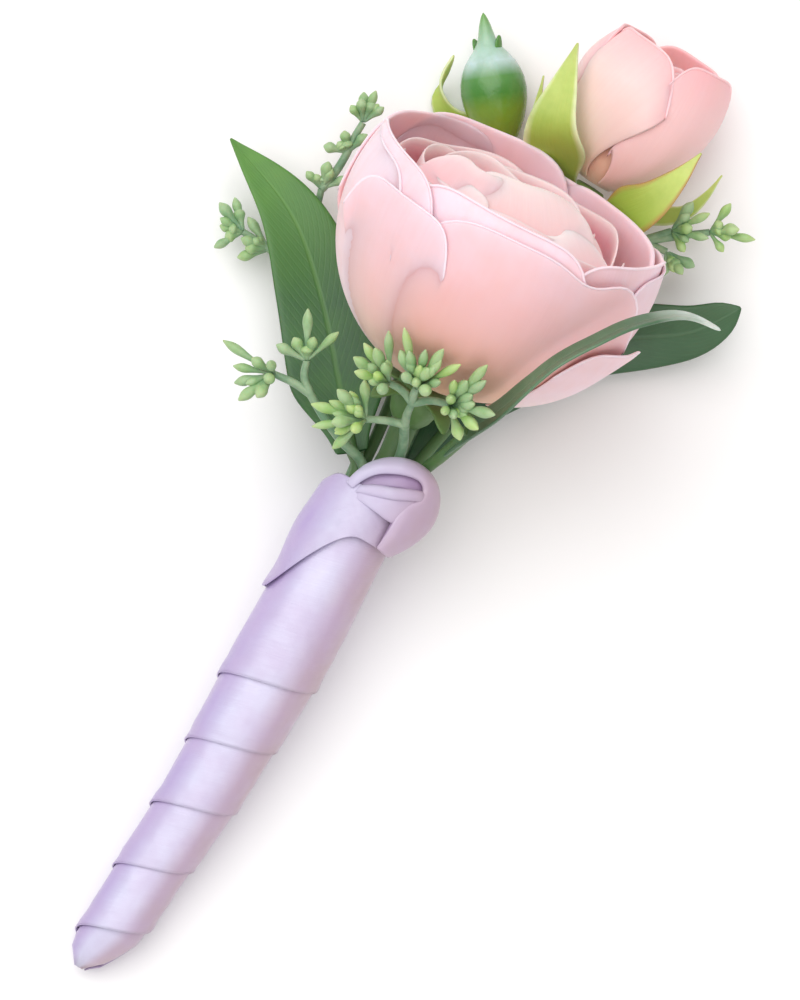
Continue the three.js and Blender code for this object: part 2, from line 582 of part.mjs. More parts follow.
function rosebudStem() {
  const frame = bloomFrame(ROSEBUD);
  const hip = turned([[0, -5], [1.1, -5], [2.2, -3.2], [2.3, -1.4], [1.8, -GAP - 0.35], [0, -GAP - 0.35]], 10);
  const sepal = (spine, half, side) => blade(spine, (t) => half * (1 - t ** 1.5) * smooth((t + 0.04) / 0.45), side,
    { across: 2, along: 6, fold: 0.08 });
  const start = (x, y) => inFrame(frame, x, y, -1.6);
  const sepals = [
    sepal([start(-1.4, -0.8), [-0.6, 45.1, -8.6], [-3.9, 48.2, -4.0], [-5.4, 53.4, -3.5], [-6.6, 58.6, -4.2]],
      5.3, [0.84, 0.42, 0.42]),
    sepal([start(1.2, -1.4), [7.2, 43.1, -8.8], [10.2, 46.0, -4.9], [11.9, 50.4, -3.1], [12.8, 54.8, -2.4]],
      4.3, [0.8, -0.6, 0.2]),
    sepal([start(1.8, 0.2), [10.6, 45.6, -14.2], [14.6, 47.8, -13.6], [16.0, 51.0, -13.0], [16.4, 54.4, -12.6]],
      1.9, [0.9, -0.4, 0.2]),
    sepal([start(-1.8, 0.4), [-1.2, 44.6, -15.4], [-5.2, 46.6, -14.8], [-6.8, 49.8, -12.6], [-8.2, 53.6, -12.0]],
      1.7, [0.5, 0.8, 0.2]),
    sepal([start(0.2, 1.6), [5.2, 42.8, -16.9], [5.0, 40.4, -16.6], [4.8, 38.2, -16.0]], 1.6, [1, 0, 0]),
  ];
  const stem = thinStem(-108, -23, [[-1.0, 3, -3.6], [-0.8, 10, -6.6], [0.6, 20, -10.4], [2.6, 31, -14.0],
    [4.2, 38, -15.4], inFrame(frame, 0, 0, -4.4)], { steps: 12, to: 1.0 });
  return flattened(join(stem, placed(hip, frame), sepals));
}

function greenBud() {
  const frame = bloomFrame(GREEN_BUD);
  const { radius } = GREEN_BUD;
  const bud = turned([[0, -3.2], [1.0, -3.2], [2.2, -1.8], [3.3, 0.2], [radius, 2.8], [radius, 5.2], [3.2, 7.6], [1.7, 9.1],
    [1.0, 10.4], [0.8, 12.0], [0, 13.6]], 12);
  const tips = [[1.2, -0.8], [-1.2, 0.9]].map(([x, y]) => blade(
    [[x, y, 8.4], [x * 1.3, y * 1.3, 10.2], [x * 1.7, y * 1.7, 12.0]],
    (t) => 0.9 * Math.sqrt(1 - t * t) + 0.2, [y, -x, 0], { across: 2, along: 3 },
  ));
  const leafy = blade([[-10.6, 45.6, -16.6], [-14.2, 43.8, -17.0], [-17.6, 44.8, -16.6], [-18.8, 50.4, -15.8]],
    (t) => 1.5 * Math.sqrt(Math.max(1 - t * t, 0)), [-0.2, 0.9, 0.3], { across: 2, along: 5 });
  const stem = thinStem(-144, -10, [[-2.7, 3, -2.2], [-3.6, 10, -5.2], [-5.4, 20, -9.4], [-7.6, 32, -13.4],
    [-8.4, 40, -15.2], inFrame(frame, 0, 0, -2.4)], { steps: 12 });
  return flattened(join(stem, placed(join(bud, tips), frame), leafy));
}

function stemTape() {
  const inset = RIBBON_WALL + GAP;
  const outside = handleCore(-58, HANDLE_TOP - 0.4, inset);
  return oneBody(outside.subtract(handleCore(-59, 6, inset + TAPE_WALL)));
}

const boutonniere = new THREE.Group();
boutonniere.name = 'boutonniere';
boutonniere.rotation.x = REST_TILT;
boutonniere.position.copy(BINDING_AT);

for (const [name, solid, material] of [
  ['ribbon', ribbon(), SATIN],
  ['stem_tape', stemTape(), TAPE],
  ['rose_bloom', roseBloom(), PINK],
  ['rose_stem', roseStem(), SEPAL],
  ['rosebud_bloom', rosebudBloom(), PEACH],
  ['rosebud_stem', rosebudStem(), SEPAL],
  ['green_bud', greenBud(), BUD_GREEN],
  ['leaf_left', leafLeft(), LEAF],
  ['leaf_right', leafRight(), LEAF],
  ['leaf_front', leafFront(), PALE_LEAF],
  ['sprig_front_left', sprigFrontLeft(), SEED],
  ['sprig_front', sprigFront(), SEED],
  ['sprig_right', sprigRight(), SEED],
  ['sprig_back_left', sprigBackLeft(), SEED],
]) {
  const mesh = new THREE.Mesh(geometryOf(solid), material);
  mesh.name = name;
  boutonniere.add(mesh);
}

const part = new THREE.Group();
part.add(boutonniere);

export default part;
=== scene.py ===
import math
import random

import bpy
from mathutils import Matrix, Vector
from mathutils.geometry import interpolate_bezier


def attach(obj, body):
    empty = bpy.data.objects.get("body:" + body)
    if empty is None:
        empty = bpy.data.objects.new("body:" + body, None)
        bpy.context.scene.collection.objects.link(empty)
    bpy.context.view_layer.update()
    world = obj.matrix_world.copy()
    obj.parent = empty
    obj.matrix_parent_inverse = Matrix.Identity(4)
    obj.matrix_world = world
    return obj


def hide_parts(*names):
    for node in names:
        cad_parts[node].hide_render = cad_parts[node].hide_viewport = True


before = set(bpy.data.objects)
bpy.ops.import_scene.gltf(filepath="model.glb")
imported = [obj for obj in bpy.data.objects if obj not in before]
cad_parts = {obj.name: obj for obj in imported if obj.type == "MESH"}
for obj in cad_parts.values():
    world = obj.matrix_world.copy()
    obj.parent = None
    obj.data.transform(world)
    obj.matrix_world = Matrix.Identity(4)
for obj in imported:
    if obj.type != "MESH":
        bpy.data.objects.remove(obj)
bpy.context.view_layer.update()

# Everything is modelled in the handle's own frame, in millimetres: +Y runs from the ribbon's tip to
# the flowers, +X to the right and +Z out of the front, with the binding point at the origin.
MM = 0.001
REST_TILT = math.radians(8)
BINDING_AT = Vector((4.92, -0.32, 11.85))
LAID_DOWN = (Matrix.Scale(MM, 4) @ Matrix.Translation(BINDING_AT) @ Matrix.Rotation(REST_TILT, 4, "X"))

PETAL_WALL = 0.34
LEAF_WALL = 0.4
RIBBON_WALL = 0.2

HANDLE_END = -66.2
HANDLE_TOP = 0.3
WRAP_PITCH = 8.6
WRAP_SEAM = -60.2
WRAP_STEP = 0.3
RIBBON_WIDTH = 22.0
# Place along the handle, outer radius and sideways drift.
WRAP_STATIONS = [
    (-66.2, 0.5, -0.9), (-65.0, 1.9, -0.8), (-62.8, 2.9, -0.3), (-60.4, 3.5, 0.3), (-51, 3.9, 0.6),
    (-42, 4.35, 1.1), (-34, 4.8, 1.0), (-24, 5.4, 0.8), (-16, 5.55, 0.5), (-6, 5.55, 0.0), (8, 5.55, 0.0),
]
STEM_RADIUS = 0.75
STEM_RING = 3.1

ROSE_BASE, ROSE_AXIS = (-1.3, 14.9, 2.0), (-0.064, 0.949, 0.309)
ROSE_RADIUS, ROSE_BELLY = 19.6, 19.5
ROSEBUD_BASE, ROSEBUD_AXIS = (3.6, 45.6, -12.2), (0.02, 0.985, 0.13)
ROSEBUD_RADIUS, ROSEBUD_BELLY = 9.0, 11.4
GREEN_BUD_BASE, GREEN_BUD_AXIS = (-9.9, 45.9, -14.9), (-0.62, 0.77, 0.04)

# The floor and the lamps, in metres and watts.
FLOOR_SIZE = 6
FLOOR_GREY = 0.93
LAMPS_LOOK_AT = Vector((0, 0.01, 0.02))
KEY_AT, KEY_SIZE, KEY_POWER = (-0.36, 0.14, 0.86), 1.1, 9
FILL_AT, FILL_SIZE, FILL_POWER = (0.42, -0.5, 0.62), 0.8, 2.4
SKY_STRENGTH = 0.5


def lerp(a, b, t):
    return a + (b - a) * t


def smooth(x):
    x = min(max(x, 0.0), 1.0)
    return x * x * (3 - 2 * x)


# Camera

camera_data = bpy.data.cameras.new("camera")
camera = bpy.data.objects.new("camera", camera_data)
bpy.context.scene.collection.objects.link(camera)
bpy.context.scene.camera = camera
IMAGE_TURN = math.radians(31)
CAMERA_DISTANCE = 900
VIEW_HEIGHT = 117.65
camera_data.sensor_width = 36
camera_data.lens = camera_data.sensor_width * CAMERA_DISTANCE / VIEW_HEIGHT
camera_data.clip_start, camera_data.clip_end = 0.05, 10
looking = Matrix.Translation((3.3, 0.9, 8.0 + CAMERA_DISTANCE)) @ Matrix.Rotation(IMAGE_TURN, 4, "Z")
place, turn, _ = (LAID_DOWN @ looking).decompose()
camera.location, camera.rotation_mode, camera.rotation_quaternion = place, "QUATERNION", turn


# Modelling helpers

def only(obj):
    bpy.ops.object.select_all(action="DESELECT")
    obj.select_set(True)
    bpy.context.view_layer.objects.active = obj


def apply_all(obj):
    only(obj)
    for modifier in list(obj.modifiers):
        bpy.ops.object.modifier_apply(modifier=modifier.name)


def mark(obj, **values):
    """Gives every point of a piece the same value of each named attribute, or a value by place."""
    for name, value in values.items():
        layer = obj.data.attributes.new(name, "FLOAT", "POINT")
        points = obj.data.vertices
        layer.data.foreach_set("value", [value(p.co) if callable(value) else value for p in points])
    return obj


def moulded(point_at, across, along, wall, rounds=1, inside=False):
    """A sheet: a grid laid on point_at(a, b) with a wall; a is -1 to 1 across and b 0 to 1 along."""
    bpy.ops.mesh.primitive_grid_add(x_subdivisions=across, y_subdivisions=along, size=2)
    obj = bpy.context.object
    for point in obj.data.vertices:
        point.co = point_at(point.co.x, (point.co.y + 1) / 2)
    thick = obj.modifiers.new("wall", "SOLIDIFY")
    thick.thickness, thick.offset = wall, 0
    if inside:
        thick.material_offset = 1
    if rounds:
        soft = obj.modifiers.new("soft", "SUBSURF")
        soft.levels = soft.render_levels = rounds
    apply_all(obj)
    return obj


class Path:
    """A smooth line through points, read at a share of its length."""

    def __init__(self, points, fine=14):
        points = [Vector(p) for p in points]
        self.line = []
        for k, (start, end) in enumerate(zip(points, points[1:])):
            before = points[k - 1] if k else 2 * start - end
            after = points[k + 2] if k + 2 < len(points) else 2 * end - start
            leaving, arriving = start + (end - before) / 6, end - (after - start) / 6
            piece = interpolate_bezier(start, leaving, arriving, end, fine)
            self.line += piece[:-1]
        self.line.append(points[-1])
        self.reach = [0.0]
        for p, q in zip(self.line, self.line[1:]):
            self.reach.append(self.reach[-1] + (q - p).length)

    def at(self, t):
        want = min(max(t, 0.0), 1.0) * self.reach[-1]
        k = next((i for i, r in enumerate(self.reach[1:]) if r >= want), len(self.line) - 2)
        span = self.reach[k + 1] - self.reach[k]
        return self.line[k].lerp(self.line[k + 1], (want - self.reach[k]) / span)

    def way(self, t):
        return (self.at(min(t + 0.02, 1)) - self.at(max(t - 0.02, 0))).normalized()


def stalk(points, start_radius, end_radius, resolution=3):
    """A round stalk along a smooth line, thick at its start, from a bevelled curve."""
    bpy.ops.curve.primitive_bezier_curve_add()
    obj = bpy.context.object
    spline = obj.data.splines[0]
    spline.bezier_points.add(len(points) - 2)
    for k, (knot, at) in enumerate(zip(spline.bezier_points, points)):
        knot.co = at
        knot.handle_left_type = knot.handle_right_type = "AUTO"
        knot.radius = lerp(start_radius, end_radius, k / (len(points) - 1))
    obj.data.bevel_depth = 1.0
    obj.data.bevel_resolution = resolution - 1
    obj.data.resolution_u = 5
    obj.data.use_fill_caps = True
    only(obj)
    bpy.ops.object.convert(target="MESH")
    return mark(bpy.context.object, along=0.0, tint=0.5)


def raised(profile, sides):
    """A round solid on +Z: a disc at the first radius and height, extruded and resized up the profile."""
    (radius, height), *rest = profile
    at = (0, 0, height)
    bpy.ops.mesh.primitive_circle_add(vertices=sides, radius=radius, fill_type="NGON", location=at)
    obj = bpy.context.object
    bpy.ops.object.transform_apply(location=True)
    bpy.ops.object.mode_set(mode="EDIT")
    bpy.ops.mesh.select_mode(type="FACE")
    bpy.ops.mesh.select_all(action="SELECT")
    for wider, higher in rest:
        bpy.ops.mesh.extrude_region_move(TRANSFORM_OT_translate={"value": (0, 0, higher - height)})
        bpy.ops.transform.resize(value=(wider / radius, wider / radius, 1), center_override=(0, 0, higher))
        radius, height = wider, higher
    bpy.ops.mesh.select_all(action="SELECT")
    bpy.ops.mesh.normals_make_consistent(inside=False)
    bpy.ops.object.mode_set(mode="OBJECT")
    return obj


def joined(pieces, name):
    bpy.ops.object.select_all(action="DESELECT")
    for piece in pieces:
        piece.select_set(True)
    bpy.context.view_layer.objects.active = pieces[0]
    if len(pieces) > 1:
        bpy.ops.object.join()
    pieces[0].name = pieces[0].data.name = name
    return pieces[0]


def finished(obj, name, materials, *nodes, slot=None):
    """Lays a piece down in the part's frame, paints it, and lets it stand for its CAD nodes."""
    obj.name = obj.data.name = name
    obj.data.transform(obj.matrix_world)
    obj.matrix_world = Matrix.Identity(4)
    obj.data.transform(LAID_DOWN)
    for material in materials:
        obj.data.materials.append(material)
    only(obj)
    bpy.ops.object.shade_smooth()
    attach(obj, "root")
    if nodes:
        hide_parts(*nodes)
    return obj


def bloom_frame(base, axis):
    """+Z is the bloom's axis, +X stays to the right, and -Y is the side seen from the front."""
    up = Vector(axis).normalized()
    right = (Vector((1, 0, 0)) - up * up.x).normalized()
    back = up.cross(right)
    turned = Matrix((right, back, up)).transposed().to_4x4()
    return Matrix.Translation(base) @ turned


# Materials

def group_of(name, inputs, outputs):
    """A node group with named sockets; inputs and outputs are (name, kind, default)."""
    made = bpy.data.node_groups.new(name, "ShaderNodeTree")
    for label, kind, default in inputs:
        socket = made.interface.new_socket(label, in_out="INPUT", socket_type=kind)
        if default is not None:
            socket.default_value = default
    for label, kind in outputs:
        made.interface.new_socket(label, in_out="OUTPUT", socket_type=kind)
    return made, made.nodes.new("NodeGroupInput"), made.nodes.new("NodeGroupOutput")


def add(tree, kind, settings=None, **inputs):
    """Adds a node; an input is a value, or an output socket to link. Numbered inputs are written i0, i1."""
    node = tree.nodes.new(kind)
    for key, value in (settings or {}).items():
        setattr(node, key, value)
    for key, value in inputs.items():
        bare = key[1:]
        numbered = key[0] == "i" and bare.isdigit()
        socket = node.inputs[int(bare) if numbered else key.replace("_", " ")]
        if isinstance(value, bpy.types.NodeSocket):
            tree.links.new(value, socket)
        else:
            socket.default_value = value
    return node


def ramp(tree, factor, stops):
    node = add(tree, "ShaderNodeValToRGB", Fac=factor)
    points = node.color_ramp.elements
    while len(points) < len(stops):
        points.new(0.5)
    for point, (at, color) in zip(points, stops):
        point.position, point.color = at, linear(color)
    return node.outputs["Color"]


def linear(color):
    """An sRGB colour of 0 to 255 as a linear one with alpha."""
    shares = [c / 255 for c in color]
    return [c / 12.92 if c <= 0.04045 else ((c + 0.055) / 1.055) ** 2.4 for c in shares] + [1.0]


def blended(tree, factor, first, second, kind="MIX"):
    node = tree.nodes.new("ShaderNodeMix")
    node.data_type, node.blend_type = "RGBA", kind
    for socket, value in ((node.inputs[0], factor), (node.inputs[6], first), (node.inputs[7], second)):
        if isinstance(value, bpy.types.NodeSocket):
            tree.links.new(value, socket)
        else:
            socket.default_value = value if isinstance(value, (int, float)) else linear(value)
    return node.outputs[2]


def calc(tree, operation, *values):
    return add(tree, "ShaderNodeMath", {"operation": operation},
               **{f"i{k}": value for k, value in enumerate(values)}).outputs[0]


def mottle_group():
    """Soft patches of a second colour over a first, as on a living surface."""
    tree, given, out = group_of(
        "living_mottle",
        [("Base", "NodeSocketColor", None), ("Patch", "NodeSocketColor", None),
         ("Scale", "NodeSocketFloat", 200.0), ("Amount", "NodeSocketFloat", 0.5)],
        [("Color", "NodeSocketColor")],
    )
    where = add(tree, "ShaderNodeTexCoord").outputs["Object"]
    noise = add(tree, "ShaderNodeTexNoise", Vector=where, Scale=given.outputs["Scale"], Detail=3.0,
                Roughness=0.6)
    spread = add(tree, "ShaderNodeMapRange", Value=noise.outputs["Fac"], i1=0.38, i2=0.62)
    mask = calc(tree, "MULTIPLY", spread.outputs["Result"], given.outputs["Amount"])
    mixed = blended(tree, mask, given.outputs["Base"], given.outputs["Patch"])
    tree.links.new(mixed, out.inputs["Color"])
    return tree


def streak_group():
    """Fine lines that run along a petal, a leaf or a ribbon's threads, from its UV map."""
    tree, given, out = group_of(
        "long_streaks",
        [("Across", "NodeSocketFloat", 60.0), ("Along", "NodeSocketFloat", 3.0),
         ("Distortion", "NodeSocketFloat", 0.4)],
        [("Height", "NodeSocketFloat"), ("Lines", "NodeSocketFloat")],
    )
    where = add(tree, "ShaderNodeTexCoord").outputs["UV"]
    parts = add(tree, "ShaderNodeSeparateXYZ", Vector=where)
    x = calc(tree, "MULTIPLY", parts.outputs["X"], given.outputs["Across"])
    y = calc(tree, "MULTIPLY", parts.outputs["Y"], given.outputs["Along"])
    stretched = add(tree, "ShaderNodeCombineXYZ", X=x, Y=y)
    noise = add(tree, "ShaderNodeTexNoise", Vector=stretched.outputs[0], Scale=1.0, Detail=2.0,
                Roughness=0.55, Distortion=given.outputs["Distortion"])
    lines = add(tree, "ShaderNodeMapRange", Value=noise.outputs["Fac"], i1=0.35, i2=0.65)
    tree.links.new(noise.outputs["Fac"], out.inputs["Height"])
    tree.links.new(lines.outputs["Result"], out.inputs["Lines"])
    return tree


MOTTLE = mottle_group()
STREAKS = streak_group()


def material(name, roughness, **numbers):
    """A new material, its tree and its Principled shader, with the given values on the shader."""
    made = bpy.data.materials.new(name)
    made.use_nodes = True
    tree = made.node_tree
    shader = tree.nodes["Principled BSDF"]
    shader.inputs["Roughness"].default_value = roughness
    for key, value in numbers.items():
        shader.inputs[key.replace("_", " ")].default_value = value
    return made, tree, shader


def mottled(tree, base, patch, scale, amount):
    node = add(tree, "ShaderNodeGroup", {"node_tree": MOTTLE}, Scale=scale, Amount=amount)
    for label, value in (("Base", base), ("Patch", patch)):
        if isinstance(value, bpy.types.NodeSocket):
            tree.links.new(value, node.inputs[label])
        else:
            node.inputs[label].default_value = linear(value)
    return node.outputs["Color"]


def streaks(tree, across, along, distortion=0.4):
    return add(tree, "ShaderNodeGroup", {"node_tree": STREAKS}, Across=across, Along=along,
               Distortion=distortion)


def bumped(tree, shader, height, strength, distance):
    bump = add(tree, "ShaderNodeBump", Height=height, Strength=strength, Distance=distance)
    tree.links.new(bump.outputs["Normal"], shader.inputs["Normal"])


def uv_of(tree):
    parts = add(tree, "ShaderNodeSeparateXYZ", Vector=add(tree, "ShaderNodeTexCoord").outputs["UV"])
    return parts.outputs["X"], parts.outputs["Y"]


def value_of(tree, name):
    return add(tree, "ShaderNodeAttribute", {"attribute_name": name}).outputs["Fac"]


def petal_material(name, stops, warm, tint_color, rim_color, rim_from=0.74):
    """A petal: its colour runs from foot to rim, each leans to its own tint, and the rim is apart."""
    made, tree, shader = material(name, 0.55, Subsurface_Weight=0.3, Subsurface_Scale=0.002,
                                  Sheen_Weight=0.15)
    _, along = uv_of(tree)
    color = ramp(tree, along, stops)
    color = blended(tree, calc(tree, "MULTIPLY", value_of(tree, "tint"), 0.8), color, tint_color)
    color = mottled(tree, color, warm, 90.0, 0.35)
    veins = streaks(tree, 30.0, 1.6)
    color = blended(tree, calc(tree, "MULTIPLY", veins.outputs["Lines"], 0.05), color, (226, 150, 150))
    rim = add(tree, "ShaderNodeMapRange", Value=along, i1=rim_from, i2=1.0).outputs["Result"]
    color = blended(tree, calc(tree, "MULTIPLY", rim, 0.75), color, rim_color)
    tree.links.new(color, shader.inputs["Base Color"])
    shader.inputs["Subsurface Radius"].default_value = (1.0, 0.45, 0.35)
    bumped(tree, shader, veins.outputs["Height"], 0.2, 0.0002)
    return made


ROSE_OUT = petal_material(
    "rose_petal_outside",
    [(0.0, (206, 166, 100)), (0.24, (228, 170, 128)), (0.42, (232, 168, 154)), (0.6, (236, 178, 180)),
     (0.76, (240, 194, 202)), (1.0, (246, 218, 228))],
    (232, 168, 160), (244, 216, 228), (246, 220, 230),
)
ROSE_IN = petal_material(
    "rose_petal_inside",
    [(0.0, (236, 116, 124)), (0.45, (246, 128, 152)), (0.66, (250, 148, 176)), (0.8, (250, 196, 216)),
     (1.0, (250, 216, 228))],
    (246, 142, 160), (250, 158, 188), (248, 208, 224), 0.82,
)
HEART = petal_material(
    "rose_heart_petal",
    [(0.0, (230, 100, 104)), (0.5, (242, 148, 152)), (0.7, (250, 200, 200)), (0.9, (253, 220, 220)),
     (1.0, (253, 230, 230))],
    (250, 208, 208), (246, 150, 172), (253, 230, 228), 0.88,
)
BUD_PETAL = petal_material(
    "rosebud_petal",
    [(0.0, (234, 200, 158)), (0.35, (244, 208, 196)), (0.6, (249, 208, 204)), (0.78, (251, 186, 190)),
     (1.0, (252, 200, 204))],
    (248, 196, 190), (251, 182, 188), (252, 202, 206), 0.86,
)


def leaf_material(name, top, low, vein, gloss, paler, top_from=0.45):
    """A leaf: a paler midrib, faint side veins that lean to the tip, and waxy patches."""
    made, tree, shader = material(name, gloss, Coat_Weight=0.08, Coat_Roughness=0.4, Subsurface_Weight=0.08,
                                  Subsurface_Scale=0.001)
    across, along = uv_of(tree)
    color = ramp(tree, along, [(0.0, low), (top_from, low), (0.95, top)])
    color = mottled(tree, color, paler, 160.0, 0.5)
    off = calc(tree, "ABSOLUTE", calc(tree, "SUBTRACT", across, 0.5))
    rib = add(tree, "ShaderNodeMapRange", Value=off, i1=0.035, i2=0.012).outputs["Result"]
    lean = calc(tree, "ADD", calc(tree, "MULTIPLY", along, 26.0), calc(tree, "MULTIPLY", off, -14.0))
    wave = calc(tree, "ABSOLUTE", calc(tree, "SINE", calc(tree, "MULTIPLY", lean, 3.1416)))
    side = calc(tree, "POWER", wave, 14.0)
    lines = calc(tree, "MAXIMUM", rib, calc(tree, "MULTIPLY", side, 0.25))
    color = blended(tree, calc(tree, "MULTIPLY", lines, 0.35), color, vein)
    tree.links.new(color, shader.inputs["Base Color"])
    fine = streaks(tree, 30.0, 30.0)
    grain = calc(tree, "MULTIPLY", fine.outputs["Height"], 0.3)
    height = calc(tree, "ADD", grain, calc(tree, "MULTIPLY", lines, -0.6))
    bumped(tree, shader, height, 0.4, 0.0002)
    return made


# The left leaf runs from dark green at its base to bright green towards its tip: partly its own colour, and
# partly painted shade at the base and a painted lit upper part.
LEAF_BRIGHT = leaf_material("leaf_bright", (84, 138, 44), (44, 90, 46), (98, 146, 66), 0.46,
                            (62, 112, 44))
LEAF_DARK = leaf_material("leaf_dark", (44, 88, 46), (34, 74, 44), (84, 120, 84), 0.4, (52, 98, 58))
# Painted highlight: the near-white colour from 0.8 of the way along paints the glint on the front leaf's
# curled tip; the grey-green below it is the leaf's own pale underside.
LEAF_PALE_PAINTED_TIP_HIGHLIGHT = leaf_material("leaf_pale_painted_tip_highlight", (228, 236, 230), (74, 108, 78), (120, 146, 118), 0.38,
                          (100, 132, 100), top_from=0.8)


def green_material(name, stops, patch, roughness, tint_color, bloom=0.35):
    """A young green part: its colour runs along it, with patches and a whitish bloom."""
    made, tree, shader = material(name, roughness, Subsurface_Weight=0.12, Subsurface_Scale=0.0012)
    color = ramp(tree, value_of(tree, "along"), stops)
    color = blended(tree, calc(tree, "MULTIPLY", value_of(tree, "tint"), 0.6), color, tint_color)
    color = mottled(tree, color, patch, 420.0, bloom)
    tree.links.new(color, shader.inputs["Base Color"])
    where = add(tree, "ShaderNodeTexCoord").outputs["Object"]
    grain = add(tree, "ShaderNodeTexNoise", Vector=where, Scale=1600.0, Detail=2.0)
    bumped(tree, shader, grain.outputs["Fac"], 0.25, 0.0002)
    return made


SEED_GREEN = green_material(
    "seed_sprig",
    [(0.0, (98, 134, 92)), (0.35, (122, 162, 92)), (0.75, (150, 188, 92)), (1.0, (184, 210, 128))],
    (188, 206, 168), 0.5, (112, 150, 132),
)
STEM_GREEN = green_material(
    "stem_green", [(0.0, (74, 110, 66)), (0.5, (96, 134, 72)), (1.0, (128, 160, 78))],
    (84, 112, 62), 0.5, (92, 128, 70),
)
# Painted highlight: the bluish-white stops at 0.66 and 0.75 along the bud paint a sheen band across its
# upper part; the other stops run from olive at the foot through the bud's greens.
BUD_GREEN_PAINTED_SHEEN = green_material(
    "green_bud_skin_painted_sheen",
    [(0.0, (140, 150, 44)), (0.3, (116, 146, 42)), (0.42, (66, 126, 44)), (0.54, (84, 140, 72)),
     (0.66, (190, 214, 212)), (0.75, (170, 202, 184)), (1.0, (110, 160, 84))],
    (104, 152, 74), 0.25, (96, 150, 96), 0.25,
)


def sepal_material():
    made, tree, shader = material("sepal", 0.45, Subsurface_Weight=0.15, Subsurface_Scale=0.0012)
    across, along = uv_of(tree)
    color = ramp(tree, along, [
        (0.0, (136, 160, 56)), (0.4, (158, 184, 74)), (0.8, (190, 210, 112)), (1.0, (202, 214, 130))])
    off = calc(tree, "ABSOLUTE", calc(tree, "SUBTRACT", across, 0.5))
    edge = add(tree, "ShaderNodeMapRange", Value=off, i1=0.36, i2=0.5).outputs["Result"]
    edge_color = blended(tree, value_of(tree, "tint"), (232, 238, 200), (176, 96, 70))
    color = blended(tree, calc(tree, "MULTIPLY", edge, 0.85), color, edge_color)
    color = mottled(tree, color, (140, 174, 66), 260.0, 0.4)
    tree.links.new(color, shader.inputs["Base Color"])
    lines = streaks(tree, 26.0, 3.0)
    bumped(tree, shader, lines.outputs["Height"], 0.35, 0.0002)
    return made


SEPAL = sepal_material()


def satin_painted_sheen_material():
    """Lilac satin with threads and puckers; its colour, set by how far round the handle a point is, paints a
    bluish-white highlight at the front-left, a rosier-brown shade on the right side and darker sides.
    """
    made, tree, shader = material(
        "lilac_satin_painted_sheen", 0.34, Sheen_Weight=0.15, Sheen_Roughness=0.4, Specular_IOR_Level=0.7,
        Anisotropic=0.5, Coat_Weight=0.25, Coat_Roughness=0.3)
    # Painted light: this ramp over the share round the handle darkens the left and right sides, paints a
    # bluish-white highlight band at the front-left and paints a rosier-brown shade on the right side.
    color = ramp(tree, value_of(tree, "around"), [
        (0.0, (158, 138, 194)), (0.1, (172, 154, 202)), (0.19, (204, 202, 228)), (0.28, (204, 199, 224)),
        (0.36, (186, 163, 182)), (0.45, (174, 144, 156)), (0.54, (160, 140, 174)), (0.8, (178, 160, 200)),
        (1.0, (158, 138, 194))])
    color = mottled(tree, color, (186, 164, 200), 130.0, 0.4)
    # Painted shade: the shade attribute darkens the knot's recess and tuck towards a deep purple.
    color = blended(tree, value_of(tree, "shade"), color, (166, 120, 180))
    threads = streaks(tree, 30.0, 260.0, 0.0)
    color = blended(tree, calc(tree, "MULTIPLY", threads.outputs["Lines"], 0.12), color, (172, 152, 192))
    tree.links.new(color, shader.inputs["Base Color"])
    where = add(tree, "ShaderNodeTexCoord").outputs["Object"]
    pucker = add(tree, "ShaderNodeTexNoise", Vector=where, Scale=170.0, Detail=2.0, Roughness=0.5)
    weave = calc(tree, "MULTIPLY", threads.outputs["Height"], 0.06)
    height = calc(tree, "ADD", pucker.outputs["Fac"], weave)
    bumped(tree, shader, height, 0.6, 0.0012)
    return made


SATIN_PAINTED_SHEEN = satin_painted_sheen_material()


def tape_material():
    made, tree, shader = material("stem_tape_green", 0.7)
    color = mottled(tree, (52, 96, 58), (34, 66, 40), 300.0, 0.7)
    tree.links.new(color, shader.inputs["Base Color"])
    where = add(tree, "ShaderNodeTexCoord").outputs["Object"]
    crimp = add(tree, "ShaderNodeTexWave", {"bands_direction": "Y"}, Vector=where, Scale=260.0,
                Distortion=2.0)
    bumped(tree, shader, crimp.outputs["Fac"], 0.5, 0.0003)
    return made


TAPE = tape_material()


# The ribbon

def wrap_at(y):
    for low, high in zip(WRAP_STATIONS, WRAP_STATIONS[1:]):
        if y <= high[0]:
            break
    t = min(max((y - low[0]) / (high[0] - low[0]), 0), 1)
    return lerp(low[1], high[1], t), lerp(low[2], high[2], t)


def on_wrap(y, angle, lift):
    """A point on the wrap, or above it; the angle runs from the left side over the front."""
    radius, side = wrap_at(y)
    return Vector((side - (radius + lift) * math.cos(angle), y, (radius + lift) * math.sin(angle)))


WRAP_FROM, WRAP_TO = -0.45, 4.85


def wound(a, b):
    """The long strip: a runs along it, turn by turn, and b across it from its free lower edge."""
    turn = lerp(WRAP_FROM, WRAP_TO, (a + 1) / 2)
    angle = 2 * math.pi * turn
    over = RIBBON_WIDTH * b ** 1.6
    y = WRAP_SEAM + (turn - 0.25) * WRAP_PITCH + over
    lift = WRAP_STEP * (1 - over / WRAP_PITCH)
    lip = 0.06 * math.exp(-over / 0.4)
    pull = 0.12 * math.sin(3.1 * turn + 1.7 * over) * math.exp(-over / 3.0)
    return on_wrap(y, angle, lift + lip + pull * smooth(over / 0.8))


TOP_BAND_FROM, TOP_BAND_TO = math.radians(-105), math.radians(196)


